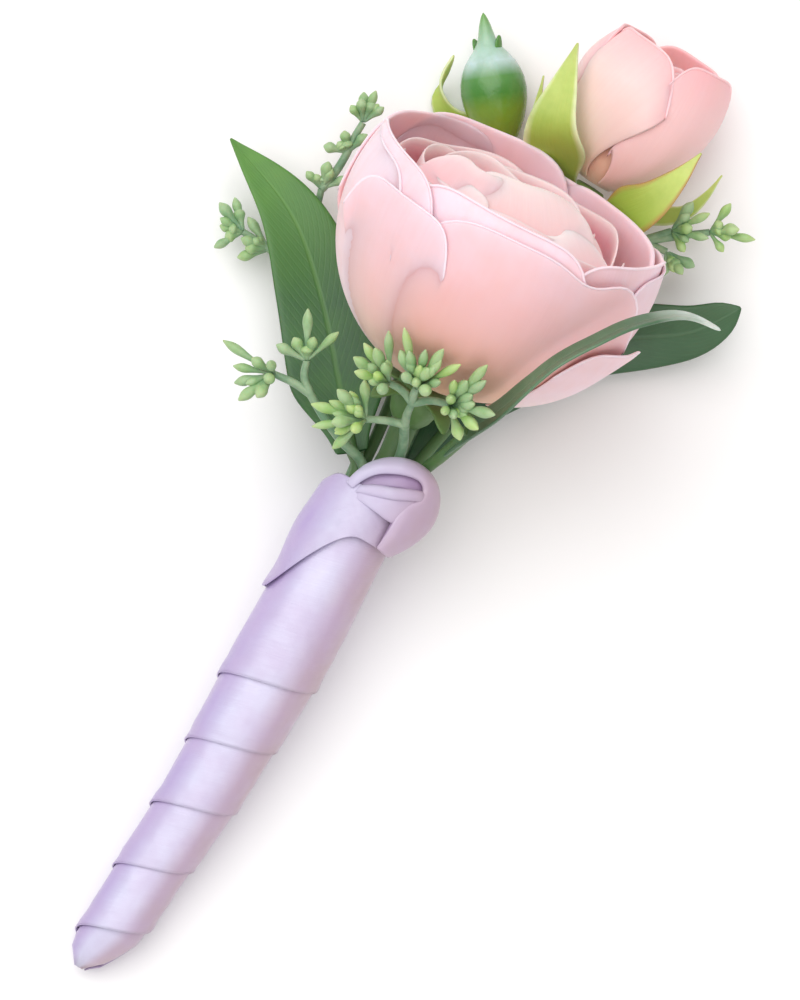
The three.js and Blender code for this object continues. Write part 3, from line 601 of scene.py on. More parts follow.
def top_band(a, b):
    """The last turn: its lower edge climbs steeply over the left and runs level under the knot."""
    angle = lerp(TOP_BAND_FROM, TOP_BAND_TO, (a + 1) / 2)
    lower = lerp(-16.2, -5.4, smooth((angle - 0.2) / 1.65))
    upper = lerp(HANDLE_TOP - 0.1, -5.0, smooth((angle - 2.1) / 0.7))
    upper -= 1.7 * smooth((0.95 - abs(angle)) / 0.95)
    low = b ** 1.4
    y = lerp(lower, upper, low)
    curl = 0.25 * smooth((low - 0.86) / 0.14) - 0.75 * smooth((y + 3) / 3) * smooth((1.1 - angle) / 0.9)
    crease = 0.22 * math.exp(-((y + 6.9 - 0.9 * (angle - 0.35)) / 0.4) ** 2)
    crease *= smooth((angle - 0.1) / 0.3) * smooth((1.15 - angle) / 0.3)
    puff = 0.18 * math.sin(2.2 * angle + 0.6 * y) * smooth(low / 0.2)
    lip = 0.08 * math.exp(-low * 14)
    return on_wrap(y, angle, 0.42 + lip + curl + puff - crease)


def tip_fold(a, b):
    """The folded end over the stems' cut ends, held by the first turn."""
    angle = math.pi * a
    y = lerp(HANDLE_END, -56.5, b ** 0.8)
    flat = 0.12 * math.sin(2 * angle + 0.6) * (1 - b)
    return on_wrap(y, angle, -0.12 + flat)


def strip(edge_one, edge_two, bulge, along=24):
    """A strip of ribbon between two edge lines, arched out of the front by a bulge."""
    first, second = Path(edge_one), Path(edge_two)

    def point(a, b):
        one, two = first.at(b), second.at(b)
        out = (two - one).cross(first.way(b) + second.way(b)).normalized()
        if out.z < 0:
            out.negate()
        arch = bulge * math.sqrt(max(1 - a * a, 0)) * smooth((b + 0.15) / 0.3) * smooth((1.15 - b) / 0.3)
        return one.lerp(two, (a + 1) / 2) + out * arch

    return moulded(point, 10, along, RIBBON_WALL)


def around_handle(obj):
    """Marks how far round the handle each point is, as a share of a turn from the left over the front."""
    def share(at):
        _, side = wrap_at(at.y)
        return (math.atan2(at.z, side - at.x) / (2 * math.pi)) % 1
    return mark(obj, around=share)


wrap = moulded(wound, 190, 12, RIBBON_WALL, 0)
finished(around_handle(wrap), "ribbon_wrap", [SATIN_PAINTED_SHEEN], "ribbon", slot="satin_ribbon")

tip = moulded(tip_fold, 28, 8, RIBBON_WALL, 0)
finished(around_handle(tip), "ribbon_tip", [SATIN_PAINTED_SHEEN], slot="satin_ribbon")

band = moulded(top_band, 56, 14, RIBBON_WALL, 1)
finished(around_handle(band), "ribbon_top_turn", [SATIN_PAINTED_SHEEN], slot="satin_ribbon")

# The loop, the recess under it, two bars across the recess, and the tuck beside the band.
loop = strip(
    [(-3.2, -0.6, 5.2), (-2.6, 1.2, 5.2), (-1.8, 2.8, 5.0), (0.0, 4.6, 4.7), (2.2, 5.5, 4.5),
     (4.2, 5.4, 4.1), (6.4, 4.3, 3.2), (7.8, 2.4, 2.4), (8.2, 0.2, 2.1), (7.7, -2.0, 2.2),
     (6.5, -4.3, 2.8), (5.5, -5.7, 3.4)],
    [(-2.2, -0.8, 6.0), (-1.6, 0.6, 6.3), (-0.6, 2.0, 6.4), (0.9, 3.0, 6.4), (2.6, 3.7, 6.1),
     (4.1, 3.9, 5.7), (5.0, 3.2, 5.5), (5.0, 1.9, 5.7), (4.1, 0.4, 6.0), (3.9, -1.4, 6.1),
     (3.9, -3.4, 5.8), (3.8, -5.4, 5.3)],
    0.85, along=44)
recess = strip(
    [(-2.2, 1.2, 5.2), (-0.6, 3.3, 5.0), (1.6, 4.6, 4.9), (4.0, 4.8, 4.4), (6.0, 3.8, 3.6)],
    [(-1.7, -0.4, 5.6), (-0.2, 0.7, 5.7), (1.8, 1.7, 5.8), (4.0, 2.5, 5.4), (5.8, 2.1, 4.6)], 0.15)
upper_bar = strip(
    [(-1.6, 0.0, 6.0), (0.0, 1.0, 6.4), (2.2, 1.9, 6.6), (4.4, 2.9, 6.0), (5.6, 3.2, 5.0)],
    [(-1.7, -1.0, 6.0), (0.4, -0.3, 6.5), (2.6, 0.5, 6.7), (4.7, 1.6, 6.0), (6.0, 2.0, 4.8)], 0.4)
lower_bar = strip(
    [(-1.6, -0.4, 5.9), (0.6, 0.2, 6.3), (2.7, 1.0, 6.4), (4.9, 2.0, 5.6), (6.0, 2.2, 4.6)],
    [(-1.2, -1.6, 6.0), (1.2, -1.8, 6.3), (3.1, -2.0, 6.1), (4.6, -2.0, 5.5), (5.6, -2.2, 4.6)], 0.2)
tuck = strip(
    [(3.6, 0.4, 6.1), (5.4, 0.0, 5.0), (6.4, -0.6, 4.2)],
    [(3.9, -5.2, 4.9), (4.8, -5.4, 4.2), (5.8, -5.4, 3.4)], 0.1)
# Painted shade: the recess under the loop and the tuck beside the band are darkened.
mark(recess, shade=0.5)
mark(tuck, shade=0.45)
folds = [loop, recess, upper_bar, lower_bar, tuck]
for piece in folds:
    around_handle(piece)
knot = finished(joined(folds, "ribbon_knot"), "ribbon_knot", [SATIN_PAINTED_SHEEN], slot="satin_ribbon")


# Stems

def sleeve_point(angle, y):
    _, side = wrap_at(y)
    turned = math.radians(angle)
    return (side + STEM_RING * math.cos(turned), y, STEM_RING * math.sin(turned))


def thin_stem(angle, cut_at, points, end=STEM_RADIUS):
    """A stem from its cut end in the sleeve, through the binding and on through the given points."""
    sleeve = [sleeve_point(angle, y) for y in (cut_at, cut_at * 0.5, -1)]
    return stalk(sleeve + points, STEM_RADIUS, end)


# Leaves

def blade(spine, half_width, side, across=8, along=20, crease=0.25, wave=0.0, wall=LEAF_WALL):
    """A blade along a spine, with the way across it and its half width at each share of its length."""
    line = Path(spine)

    def point(a, b):
        way = line.way(b)
        over = Vector(side(b) if callable(side) else side)
        over = (over - way * over.dot(way)).normalized()
        normal = over.cross(way)
        width = max(half_width(b), 0.12)
        lift = width * (crease * abs(a) ** 1.3 + wave * a * math.sin(7 * b))
        return line.at(b) + over * a * width + normal * lift

    return mark(moulded(point, across, along, wall), along=0.5, tint=0.0)


def leaf(name, node, slot, paint, stem, *blade_form, **details):
    pieces = [blade(*blade_form, **details), stem]
    pieces[0].data.materials.append(paint)
    stem.data.materials.append(STEM_GREEN)
    return finished(joined(pieces, name), name, [], node, slot=slot)


leaf(
    "leaf_left_blade", "leaf_left", "leaf_green", LEAF_BRIGHT,
    thin_stem(144, -14, [(-3.2, 1.8, 1.8), (-4.6, 3.0, 1.1), (-7.2, 5.8, -0.6)]),
    [(-4.4, 2.7, 1.0), (-10.9, 10.0, -3.4), (-17.8, 17.3, -6.2), (-25.8, 23.7, -7.6), (-36.5, 27.6, -9.0)],
    lambda t: 6.1 * (1 - t ** 3.1) * lerp(0.33, 1, smooth(t / 0.24)), (0.579, 0.815, -0.15),
    crease=0.12, wave=0.05, along=28,
)
leaf(
    "leaf_right_blade", "leaf_right", "leaf_green", LEAF_DARK,
    thin_stem(-36, -17, [(2.6, 2, -2.1), (2.9, 6, -3.2), (3.7, 11, -4.9)]),
    [(2.8, 5, -2.9), (3.4, 10, -4.5), (4.9, 16.5, -6.9), (8, 23, -9.4), (12.8, 28.8, -11.2),
     (18.7, 33, -11.4), (23.3, 36.6, -10.8), (26.5, 41.8, -9.8)],
    lambda t: 5.0 * smooth((t + 0.25) / 0.72) * math.sqrt(max(1 - t ** 3.6, 0)), (-0.7, 0.7, 0.1),
    crease=0.25, wave=0.05, along=28,
)
FRONT_LEAF_PATH = [
    (4.9, 8, 5.0), (6.2, 12, 11), (8.0, 15.8, 18.0), (9.3, 19.8, 22.8), (10.8, 24, 24.2),
    (13.4, 28.3, 24.2), (16.2, 32.4, 22.4), (20.5, 36.2, 19.0), (25.2, 37.1, 16.8),
]
leaf(
    "leaf_front_blade", "leaf_front", "leaf_underside", LEAF_PALE_PAINTED_TIP_HIGHLIGHT,
    thin_stem(0, -19, [(3.3, 2, 0.3), (3.8, 5, 2.2)] + FRONT_LEAF_PATH[:2]),
    FRONT_LEAF_PATH,
    lambda t: 1.9 * smooth((t + 0.1) / 0.3) * math.sqrt(max(1 - t ** 4, 0)),
    lambda t: (0.28, -0.22, 0.95 - 0.2 * t),
    crease=0.15, along=30,
)


# Seeded sprigs

def seed_pattern():
    """One seed bud of length 1: a thin stalk that swells into a club with a small pointed cap."""
    bud = raised([(0.3, 0), (0.32, 0.34), (0.5, 0.52), (0.76, 0.66), (0.84, 0.76), (0.7, 0.87),
                  (0.36, 0.95), (0.1, 1.02)], 8)
    soft = bud.modifiers.new("soft", "SUBSURF")
    soft.levels = soft.render_levels = 1
    apply_all(bud)
    return mark(bud, along=lambda at: at.z)


SEED = seed_pattern()
draws = random.Random(7)


def seed_bud(hub, tip, cool):
    """A copy of the seed bud, set from its hub to its tip."""
    hub, tip = Vector(hub), Vector(tip)
    way = tip - hub
    copy = SEED.copy()
    copy.data = SEED.data.copy()
    bpy.context.scene.collection.objects.link(copy)
    thick = draws.uniform(0.72, 1.04)
    turned = Vector((0, 0, 1)).rotation_difference(way).to_matrix().to_4x4()
    copy.data.transform(Matrix.Translation(hub) @ turned @ Matrix.Diagonal((thick, thick, way.length, 1)))
    return mark(copy, tint=lerp(draws.random(), 1, cool))


def young(hub, tips):
    """Shorter buds between the long ones of an umbel."""
    more = []
    for tip, other in zip(tips, tips[1:] + tips[:1]):
        middle = (Vector(tip) + Vector(other)) / 2
        aside = Vector((draws.uniform(-0.8, 0.8), draws.uniform(-0.8, 0.8), draws.uniform(-0.2, 1.0)))
        more.append(tuple(Vector(hub).lerp(middle + aside, draws.uniform(0.62, 0.82))))
    return more


def twig(points):
    return stalk(points, 0.55, 0.42)


def sprig(name, node, stem, twigs, umbels, cool=0.0):
    pieces = [stem] + [twig(points) for points in twigs]
    pieces += [seed_bud(hub, tip, cool) for hub, tips in umbels for tip in tips + young(hub, tips)]
    return finished(joined(pieces, name), name, [SEED_GREEN], node, slot="seed_green")


FORK = (-12.3, 6.2, 4.6)
sprig(
    "sprig_front_left_seeds", "sprig_front_left",
    thin_stem(108, -12, [(-2.4, 2.0, 3.2), (-6.4, 3.4, 4.0), (-9.7, 4.8, 4.4), FORK], end=0.5),
    [[FORK, (-13.9, 7.6, 4.8), (-14.6, 9.3, 5.0)], [FORK, (-14.4, 6.3, 4.6), (-17.1, 6.0, 4.4)]],
    [((-14.6, 9.3, 5.0), [(-17.6, 14.6, 5.6), (-13.1, 14.1, 6.4), (-18.6, 9.1, 5.8)]),
     ((-17.1, 6.0, 4.4), [(-24.3, 6.3, 3.4), (-20.6, 2.7, 3.6), (-19.1, 1.2, 4.8), (-17.4, 2.6, 6.0),
                          (-18.1, 6.9, 8.2)])],
    cool=0.6,
)

FRONT_FORK = (-0.8, 8.8, 9.2)
CROWN = (-1.3, 11.4, 13.2)
sprig(
    "sprig_front_seeds", "sprig_front",
    thin_stem(72, -22, [(0.9, 3.6, 3.2), (0.4, 6.2, 4.9), FRONT_FORK], end=0.6),
    [[FRONT_FORK, (-1.2, 10.1, 11.2), CROWN], [FRONT_FORK, (-2.8, 8.1, 9.5), (-5.0, 7.0, 9.4)],
     [CROWN, (-3.0, 12.0, 13.6), (-4.8, 12.0, 13.6)], [CROWN, (-1.7, 12.4, 14.9), (-1.8, 13.2, 16.4)],
     [CROWN, (0.6, 12.8, 14.7), (2.6, 13.4, 15.6)]],
    [((-5.0, 7.0, 9.4), [(-8.3, 8.8, 10.4), (-9.8, 6.6, 9.6), (-11.4, 5.2, 9.0), (-10.0, 3.0, 8.6),
                         (-6.6, 2.0, 8.8), (-8.2, 4.6, 12.4), (-7.5, 10.8, 11.4), (-5.6, 5.0, 13.2),
                         (-9.6, 8.2, 12.6)]),
     ((-4.8, 12.0, 13.6), [(-9.9, 12.4, 14.6), (-9.7, 14.4, 15.8), (-7.9, 17.0, 20.4), (-6.4, 13.6, 18.0),
                          (-8.9, 11.0, 17.4), (-5.2, 10.6, 17.8)]),
     ((-1.8, 13.2, 16.4), [(-6.5, 18.2, 22.4), (-5.6, 15.8, 19.6), (-3.1, 17.3, 22.0), (-1.7, 15.6, 21.2),
                           (-1.4, 18.4, 23.2), (1.2, 17.9, 22.6), (-0.4, 13.4, 20.6), (-3.9, 13.6, 20.4)]),
     ((2.6, 13.4, 15.6), [(3.9, 19.4, 24.0), (4.7, 17.8, 22.6), (7.6, 15.0, 22.0), (5.7, 10.5, 16.4),
                          (4.2, 15.6, 20.6), (6.8, 12.6, 19.4), (2.4, 12.2, 19.8), (1.6, 16.0, 21.4)])],
)

RIGHT_FORK = (12.2, 42.6, -12.4)
RIGHT_HUBS = [(14.6, 45.4, -11.4), (18.6, 47.6, -10.6), (15.4, 43.0, -11.8)]
sprig(
    "sprig_right_seeds", "sprig_right",
    thin_stem(-72, -15, [(1.0, 3, -3.6), (1.4, 10, -6.9), (3.2, 20, -10.6), (6.4, 31, -13.6),
                         (9.8, 38.6, -13.6), RIGHT_FORK], end=0.55),
    [[RIGHT_FORK, tuple(lerp(c, h, 0.5) for c, h in zip(RIGHT_FORK, hub)), hub] for hub in RIGHT_HUBS],
    [(RIGHT_HUBS[0], [(15.0, 49.6, -9.6), (17.4, 49.4, -8.2), (18.8, 46.8, -8.6), (17.2, 44.0, -9.6)]),
     (RIGHT_HUBS[1], [(19.0, 51.8, -9.8), (21.4, 49.6, -8.4), (23.7, 49.6, -10.0), (21.2, 46.4, -9.6)]),
     (RIGHT_HUBS[2], [(18.4, 41.6, -10.4), (19.2, 43.2, -12.2), (16.6, 40.4, -11.6)])],
    cool=0.3,
)

LOW_FORK = (-13.6, 14.6, -8.4)
MID_FORK = (-21.2, 22.6, -10.6)
LOW, MID, TOP = (-24.0, 28.0, -10.0), (-23.6, 33.4, -9.8), (-23.8, 37.4, -9.4)
SIDE, SIDE_TIP = (-25.6, 18.6, -10.2), (-29.4, 18.8, -10.4)
sprig(
    "sprig_back_left_seeds", "sprig_back_left",
    thin_stem(180, -20, [(-3.6, 2.6, -0.8), (-6.0, 6.4, -3.6), (-9.6, 10.6, -6.6), LOW_FORK], end=0.6),
    [[LOW_FORK, (-17.6, 18.6, -9.4), MID_FORK, (-23.0, 25.2, -10.4), LOW],
     [LOW, (-23.6, 30.8, -9.9), MID, (-23.8, 35.4, -9.6), TOP],
     [LOW_FORK, (-19.8, 17.2, -9.4), SIDE, SIDE_TIP]],
    [(LOW, [(-26.6, 28.9, -9.4), (-22.0, 30.8, -9.4), (-24.9, 31.2, -8.6)]),
     (MID, [(-25.2, 35.4, -9.0), (-26.4, 32.6, -9.4), (-22.6, 36.4, -8.6)]),
     (TOP, [(-26.1, 38.4, -8.8), (-24.4, 41.4, -8.4), (-22.6, 40.2, -8.2), (-25.6, 40.6, -9.8)]),
     (SIDE, [(-29.8, 20.6, -10.2), (-29.2, 18.0, -9.6), (-28.4, 15.8, -10.4)]),
     (SIDE_TIP, [(-33.6, 20.3, -9.8), (-32.2, 18.0, -10.6), (-31.4, 15.4, -9.8), (-32.4, 21.8, -10.8)])],
    cool=0.6,
)


# The rose

# Above this share of its length a petal's rim rolls outwards.
ROLL_FROM = 0.78
# How strongly a petal's rim rolls, as an angle in radians.
ROLL_ANGLE = 2.5


def cup_petal(radius, belly, facing, half, top, foot=0.0, start=11, swirl=0.036, droop=0.32, flare=0.0,
              twist=0.0, notch=(0.0, 0.0), roll=0.12, tint=0.0, wave=0.25, widest=0.55, stands_off=0.0,
              free_from=0.7):
    """A petal of a cup: it starts near the axis, bellies out, closes in and rolls its rim over.

    Below free_from its sides sink into its neighbours, and above it the petal stands off by
    stands_off, with one side further out than the other by its swirl. The notch is a place across
    the rim and a depth.
    """
    first = math.radians(start)
    last = math.acos(1 - (top - foot) / belly)
    notch_at, notch_depth = notch

    def point(a, b):
        up = min(b / ROLL_FROM, 1)
        curl = ROLL_ANGLE * max(b - ROLL_FROM, 0) / (1 - ROLL_FROM)
        ripple = wave * (0.5 * math.sin(5.3 * a + facing) + 0.35 * math.sin(9.1 * a + 2 * facing))
        rise = smooth((up - 0.5) / 0.5)
        theta = lerp(first, last, up * (1 - droop * abs(a) ** 6 * up)) + 0.014 * ripple * rise
        theta -= notch_depth / belly * math.exp(-((a - notch_at) / 0.2) ** 2) * rise
        phi = math.radians(facing + twist * (up - 0.5) + half * a * lerp(0.62, 1, smooth(up / widest)))
        free = smooth((up - free_from) / (0.98 - free_from))
        side = lerp(-abs(swirl * a), swirl * a, free)
        wide = radius * math.sin(theta) * (1 + side) + stands_off * free
        wide += smooth((up - 0.72) / 0.28) * (flare + ripple)
        wide += roll * (1 - math.cos(curl))
        high = foot + belly * (1 - math.cos(theta)) + roll * math.sin(curl)
        return Vector((wide * math.cos(phi), wide * math.sin(phi), high))

    return mark(moulded(point, 16, 18, PETAL_WALL, 1, True), tint=tint)


def heart_petal(radius, facing, half, top, foot, heart, curl=0.6, ruffle=0.5, tint=0.0):
    """A petal inside the cup: it leaves the core at a foot height and its top leans towards the heart."""
    root = min(radius, 6.5)

    def point(a, b):
        phi = math.radians(facing + half * a)
        out = math.sin(math.pi / 2 * min(b / 0.65, 1))
        wide = lerp(root, radius, out) * (1 + 0.05 * a) - curl * smooth((b - 0.6) / 0.4)
        wide += ruffle * b * math.sin(4 * a + facing)
        aside, forward = (move * smooth(b / 0.8) for move in heart)
        high = lerp(foot, top - 1.4 * a ** 4, b) + ruffle * b * math.cos(5 * a + facing)
        return Vector((wide * math.cos(phi) + aside, wide * math.sin(phi) + forward, high))

    return mark(moulded(point, 12, 10, PETAL_WALL, 1, True), tint=tint)


def dome_petal(facing, profile, low_half, top_half, shift, lobe=0.03, tint=0.0, wall=0.55):
    """A petal that closes over the heart: profile gives its distance and height on the way it faces."""
    line = Path([(out, 0, high) for out, high in profile])
    c, s = math.cos(math.radians(facing)), math.sin(math.radians(facing))

    def point(a, b):
        reach = b * (1 - 0.16 * abs(a) ** 2.6 + lobe * b * math.sin(4.2 * a + facing))
        spot = line.at(reach)
        half = lerp(low_half, top_half, smooth((reach - 0.4) / 0.6))
        around = lerp(11.0, 15.0, reach)
        out = spot.x - around * (1 - math.cos(a * half / around))
        over = around * math.sin(a * half / around)
        high = spot.z - 0.9 * a * a * smooth((reach - 0.5) / 0.5)
        return Vector((c * out - s * over + shift[0], s * out + c * over + shift[1], high))

    return mark(moulded(point, 14, 16, wall, 1, True), tint=tint)


rose_at = bloom_frame(ROSE_BASE, ROSE_AXIS)
outer = [
    cup_petal(ROSE_RADIUS - 0.4, ROSE_BELLY, -152, 46, 26.4, swirl=0.006, stands_off=-0.1, tint=1.0),
    cup_petal(ROSE_RADIUS + 0.3, ROSE_BELLY, -68, 54, 25.1, notch=(0.33, 2.0), stands_off=-0.3, tint=0.1),
    cup_petal(ROSE_RADIUS, ROSE_BELLY, 8, 42, 24.4, tint=0.5),
    cup_petal(ROSE_RADIUS, ROSE_BELLY, 74, 44, 24.4, tint=0.4),
    cup_petal(ROSE_RADIUS, ROSE_BELLY, 140, 42, 25.8, stands_off=-0.5, tint=0.4),
    cup_petal(ROSE_RADIUS - 0.15, ROSE_BELLY, -125, 26, 23.1, swirl=-0.022, droop=0.2, stands_off=0.55,
              free_from=0.8, tint=0.3),
] + [
    cup_petal(ROSE_RADIUS - 1.5, ROSE_BELLY - 0.6, facing, half, top, foot=1.1, flare=0.6, roll=0.22,
              tint=tint)
    for facing, half, top, tint in (
        (-160, 40, 25.0, 0.9), (-90, 46, 26.6, 1.0), (-20, 44, 25.8, 1.0), (48, 44, 24.8, 0.5),
        (112, 44, 26.2, 0.4))
] + [cup_petal(ROSE_RADIUS + 1.4, ROSE_BELLY + 1, -18, 25, 15.4, foot=-0.2, start=26, droop=0.3, tint=0.9)]
outer = joined(outer, "rose_outer_petals")
outer.data.transform(rose_at)
finished(outer, "rose_outer_petals", [ROSE_OUT, ROSE_IN], "rose_bloom", slot="rose_petal")

rings = [
    (15.2, 4, 45, 24.2, 6, (-0.4, 0.6), 0.9), (11.6, 3, 70, 24.8, 7, (-1.2, 1.2), 0.6),
    (7.6, 3, 100, 25.2, 10, (-3.4, 1.6), 0.3),
]
inner = [
    heart_petal(radius, start + 360 * k / count, 215 / count, top, foot, heart, tint=tint)
    for radius, count, start, top, foot, heart, tint in rings for k in range(count)
] + [
    dome_petal(-140, [(6, 6), (12.2, 13), (13.0, 18), (11.8, 21.6), (9.4, 24.0), (6.6, 25.5)],
               10.0, 7.0, (-0.6, 0.0), 0.03, 0.3),
    dome_petal(-12, [(6, 6), (12.0, 13), (12.8, 18), (11.8, 21.4), (9.6, 23.8), (6.8, 25.2)],
               9.0, 7.0, (0.8, 0.0), 0.05, 0.2),
    dome_petal(-96, [(6, 6), (11.0, 13), (12.0, 17.5), (10.8, 21.6), (8.0, 24.4), (4.6, 26.0), (1.4, 26.3)],
               9.0, 5.0, (-5.2, 1.4), 0.06, 0.45),
    dome_petal(-70, [(6, 6), (11.6, 13), (12.6, 17.5), (11.4, 21.2), (8.2, 24.0), (3.6, 25.8), (-1.0, 26.4),
                     (-3.0, 26.1)], 10.0, 7.0, (1.4, 0.4), 0.05, 0.0),
    dome_petal(-44, [(6, 6), (11.8, 13), (12.9, 17.5), (12.3, 21.0), (10.2, 23.4), (7.2, 24.8), (5.4, 25.0)],
               8.0, 5.6, (2.4, 0.2), 0.06, 0.1),
]
core = raised([(0.4, 0), (3.4, 0.1), (7, 4), (9, 10), (8.5, 16), (6, 20.5), (0.4, 22.4)], 24)
mark(core, tint=0.3)
inner = joined(inner + [core], "rose_inner_petals")
inner.data.transform(rose_at)
finished(inner, "rose_inner_petals", [HEART, HEART], slot="rose_petal")

HIP_LENGTH = 6.4
hip = raised([(1.5, -HIP_LENGTH), (2.6, -5), (3.3, -2.8), (3.1, -1), (2.4, -0.7)], 20)
mark(hip, along=0.4, tint=0.0)
hip.data.transform(rose_at)
hip.data.materials.append(STEM_GREEN)
rose_sepals = []
for turn_by in (-126, -54, 18, 90, 162):
    c, s = math.cos(math.radians(turn_by)), math.sin(math.radians(turn_by))
    spine = [(r * c, r * s, z) for r, z in ((2.2, -1.4), (4.4, -1.5), (6.4, -1.8), (8.2, -3.2))]
    sepal = blade(spine, lambda t: 1.7 * math.sqrt(max(1 - t * t, 0)) * smooth((t + 0.35) / 0.5),
                  (-s, c, 0), across=6, along=8, crease=0.1)
    sepal.data.transform(rose_at)
    sepal.data.materials.append(STEM_GREEN)
    rose_sepals.append(sepal)
sleeve = [(wrap_at(y)[1], y, 0) for y in (-56, -40, -24, -10, 0)]
hip_foot = tuple(rose_at @ Vector((0, 0, -HIP_LENGTH + 0.8)))
rose_stem = stalk(sleeve + [(-0.2, 4, 0.3), hip_foot], 1.35, 1.6, resolution=4)
rose_stem.data.materials.append(STEM_GREEN)
finished(joined(rose_sepals + [hip, rose_stem], "rose_stem_and_hip"), "rose_stem_and_hip", [],
         "rose_stem", slot="sepal_green")


# The rosebud

bud_at = bloom_frame(ROSEBUD_BASE, ROSEBUD_AXIS)
bud_petals = [
    cup_petal(ROSEBUD_RADIUS, ROSEBUD_BELLY, facing, half, top, swirl=0.06, flare=flare, twist=twist,
              tint=tint, droop=droop, wave=0.12, widest=0.95, free_from=0.4)
    for facing, half, top, flare, twist, droop, tint in (
        (-142, 60, 18.2, -0.6, 26, 0.32, 0.0), (-40, 58, 18.8, 0.3, 10, 0.7, 0.6),
        (62, 60, 18.6, -0.2, 0, 0.5, 0.8), (150, 58, 18.0, -0.8, 0, 0.32, 0.4))
] + [
    heart_petal(radius, start + 360 * k / count, 200 / count, top, 7, (0, 0), ruffle=0.2, tint=0.4)
    for radius, count, start, top in ((6.2, 3, -60, 16.6), (3.8, 2, 10, 17.0)) for k in range(count)
]
bud_core = mark(raised([(0.4, 0), (2.2, 0.1), (4.8, 3), (6.0, 7), (5.4, 11), (0.4, 13.6)], 20), tint=0.3)
bud_petals = joined(bud_petals + [bud_core], "rosebud_petals")
bud_petals.data.transform(bud_at)
finished(bud_petals, "rosebud_petals", [BUD_PETAL, BUD_PETAL], "rosebud_bloom", slot="rosebud_petal")


def bud_sepal(spine, half, side, tint=0.0):
    """A pointed sepal of the rosebud; a tint of 1 reddens its edge."""
    obj = blade(spine, lambda t: half * (1 - t ** 1.5) * smooth((t + 0.04) / 0.45), side,
                across=6, along=18, crease=0.08, wall=0.36)
    obj.data.attributes["tint"].data.foreach_set("value", [tint] * len(obj.data.vertices))
    obj.data.materials.append(SEPAL)
    return obj


def bud_foot(x, y):
    return tuple(bud_at @ Vector((x, y, -1.6)))


sepals = [
    bud_sepal([bud_foot(-1.4, -0.8), (-0.6, 45.1, -8.6), (-3.9, 48.2, -4.0), (-5.4, 53.4, -3.5),
               (-6.6, 58.6, -4.2)], 5.3, (0.84, 0.42, 0.42)),
    bud_sepal([bud_foot(1.2, -1.4), (7.2, 43.1, -8.8), (10.2, 46.0, -4.9), (11.9, 50.4, -3.1),
               (12.8, 54.8, -2.4)], 4.3, (0.8, -0.6, 0.2), 1.0),
    bud_sepal([bud_foot(1.8, 0.2), (10.6, 45.6, -14.2), (14.6, 47.8, -13.6), (16.0, 51.0, -13.0),
               (16.4, 54.4, -12.6)], 1.9, (0.9, -0.4, 0.2)),
    bud_sepal([bud_foot(-1.8, 0.4), (-1.2, 44.6, -15.4), (-5.2, 46.6, -14.8), (-6.8, 49.8, -12.6),
               (-8.2, 53.6, -12.0)], 1.7, (0.5, 0.8, 0.2)),
    bud_sepal([bud_foot(0.2, 1.6), (5.2, 42.8, -16.9), (5.0, 40.4, -16.6), (4.8, 38.2, -16.0)],
              1.6, (1, 0, 0)),
]
bud_hip = mark(raised([(1.1, -5), (2.2, -3.2), (2.3, -1.4), (1.8, -0.65)], 20), along=0.8, tint=0.0)
bud_hip.data.transform(bud_at)
bud_hip.data.materials.append(STEM_GREEN)
bud_hip_foot = tuple(bud_at @ Vector((0, 0, -4.4)))
bud_stem = thin_stem(-108, -23, [(-1.0, 3, -3.6), (-0.8, 10, -6.6), (0.6, 20, -10.4), (2.6, 31, -14.0),
                                 (4.2, 38, -15.4), bud_hip_foot], end=1.0)
bud_stem.data.materials.append(STEM_GREEN)
finished(joined(sepals + [bud_hip, bud_stem], "rosebud_sepals_and_stem"), "rosebud_sepals_and_stem", [],
         "rosebud_stem", slot="sepal_green")


# The green bud

green_at = bloom_frame(GREEN_BUD_BASE, GREEN_BUD_AXIS)
green = raised([(1.0, -3.2), (2.2, -1.8), (3.3, 0.2), (4.1, 2.8), (4.1, 5.2), (3.2, 7.6), (1.7, 9.1),
                (1.0, 10.4), (0.8, 12.0), (0.1, 13.6)], 24)
soft = green.modifiers.new("soft", "SUBSURF")
soft.levels = soft.render_levels = 1
apply_all(green)
mark(green, along=lambda at: (at.z + 3.2) / 16.4, tint=0.0)
green_tips = []
for x, y in ((1.2, -0.8), (-1.2, 0.9)):
    tip_spine = [(x, y, 8.2), (x * 1.2, y * 1.2, 9.4), (x * 1.3, y * 1.3, 10.6)]
    green_tips.append(blade(tip_spine, lambda t: 0.7 * math.sqrt(1 - t * t) + 0.1, (y, -x, 0),
                            across=4, along=6, wall=0.3))
green_parts = joined([green] + green_tips, "green_bud_skin_painted_sheen")
green_parts.data.transform(green_at)
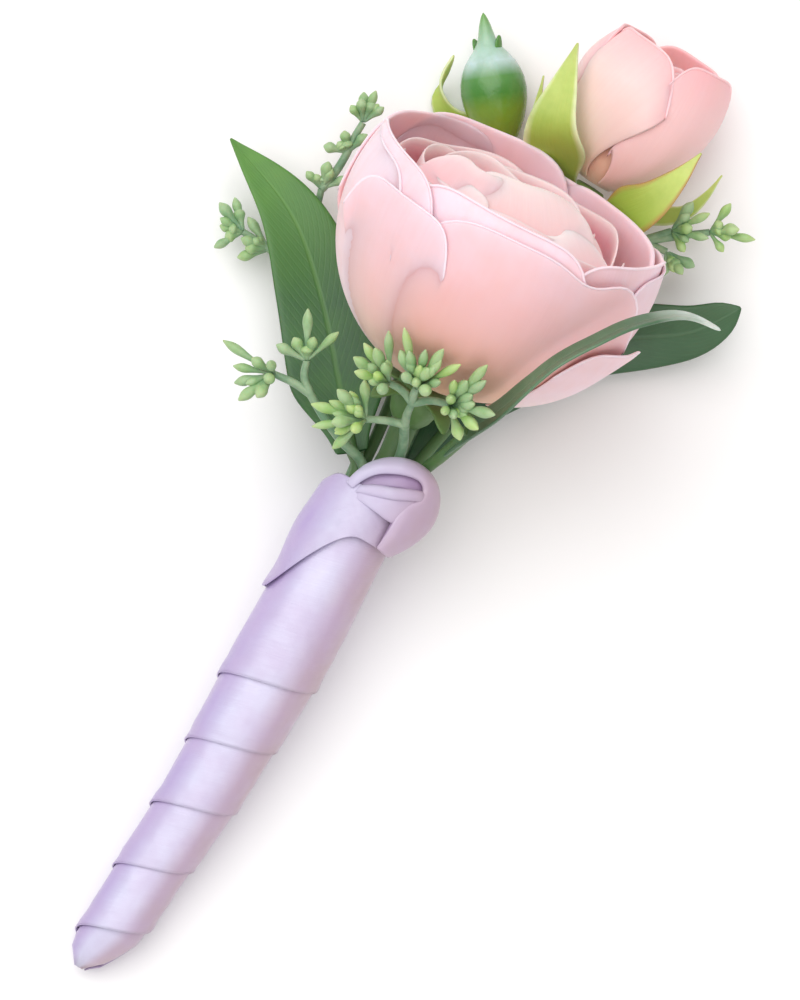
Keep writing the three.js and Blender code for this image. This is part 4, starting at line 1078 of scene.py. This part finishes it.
green_leaf = blade([(-10.6, 45.6, -16.6), (-14.2, 43.8, -17.0), (-17.6, 44.8, -16.6), (-18.8, 50.4, -15.8)],
                   lambda t: 1.5 * math.sqrt(max(1 - t * t, 0)), (-0.2, 0.9, 0.3), across=4, along=10)
green_stem = thin_stem(-144, -10, [(-2.7, 3, -2.2), (-3.6, 10, -5.2), (-5.4, 20, -9.4), (-7.6, 32, -13.4),
                                   (-8.4, 40, -15.2), tuple(green_at @ Vector((0, 0, -2.4)))])
for piece, paint in ((green_parts, BUD_GREEN_PAINTED_SHEEN), (green_leaf, SEPAL), (green_stem, STEM_GREEN)):
    piece.data.materials.append(paint)
finished(joined([green_parts, green_leaf, green_stem], "green_bud_whole"), "green_bud_whole", [],
         "green_bud", slot="bud_green")

bpy.data.objects.remove(SEED)

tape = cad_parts["stem_tape"]
tape.data.materials.clear()
tape.data.materials.append(TAPE)


# Floor and light

bpy.ops.mesh.primitive_plane_add(size=FLOOR_SIZE, location=(0, 0, 0))
floor = bpy.context.object
floor.name = "floor"
paper, _, paper_shader = material("pale_paper", 0.9)
paper_shader.inputs["Base Color"].default_value = (FLOOR_GREY, FLOOR_GREY, FLOOR_GREY, 1)
floor.data.materials.append(paper)


def lamp(name, at, size, power, color):
    """A soft square lamp that looks at the middle of the flowers."""
    data = bpy.data.lights.new(name, "AREA")
    data.size, data.energy, data.color = size, power, color
    obj = bpy.data.objects.new(name, data)
    bpy.context.scene.collection.objects.link(obj)
    obj.location = at
    obj.rotation_mode = "QUATERNION"
    obj.rotation_quaternion = (LAMPS_LOOK_AT - Vector(at)).to_track_quat("-Z", "Y")


lamp("key", KEY_AT, KEY_SIZE, KEY_POWER, (1.0, 0.99, 0.98))
lamp("fill", FILL_AT, FILL_SIZE, FILL_POWER, (1.0, 0.94, 0.92))
world = bpy.data.worlds.new("studio")
bpy.context.scene.world = world
world.use_nodes = True
world.node_tree.nodes["Background"].inputs["Color"].default_value = (1, 1, 1, 1)
world.node_tree.nodes["Background"].inputs["Strength"].default_value = SKY_STRENGTH
bpy.context.scene.view_settings.view_transform = "Standard"
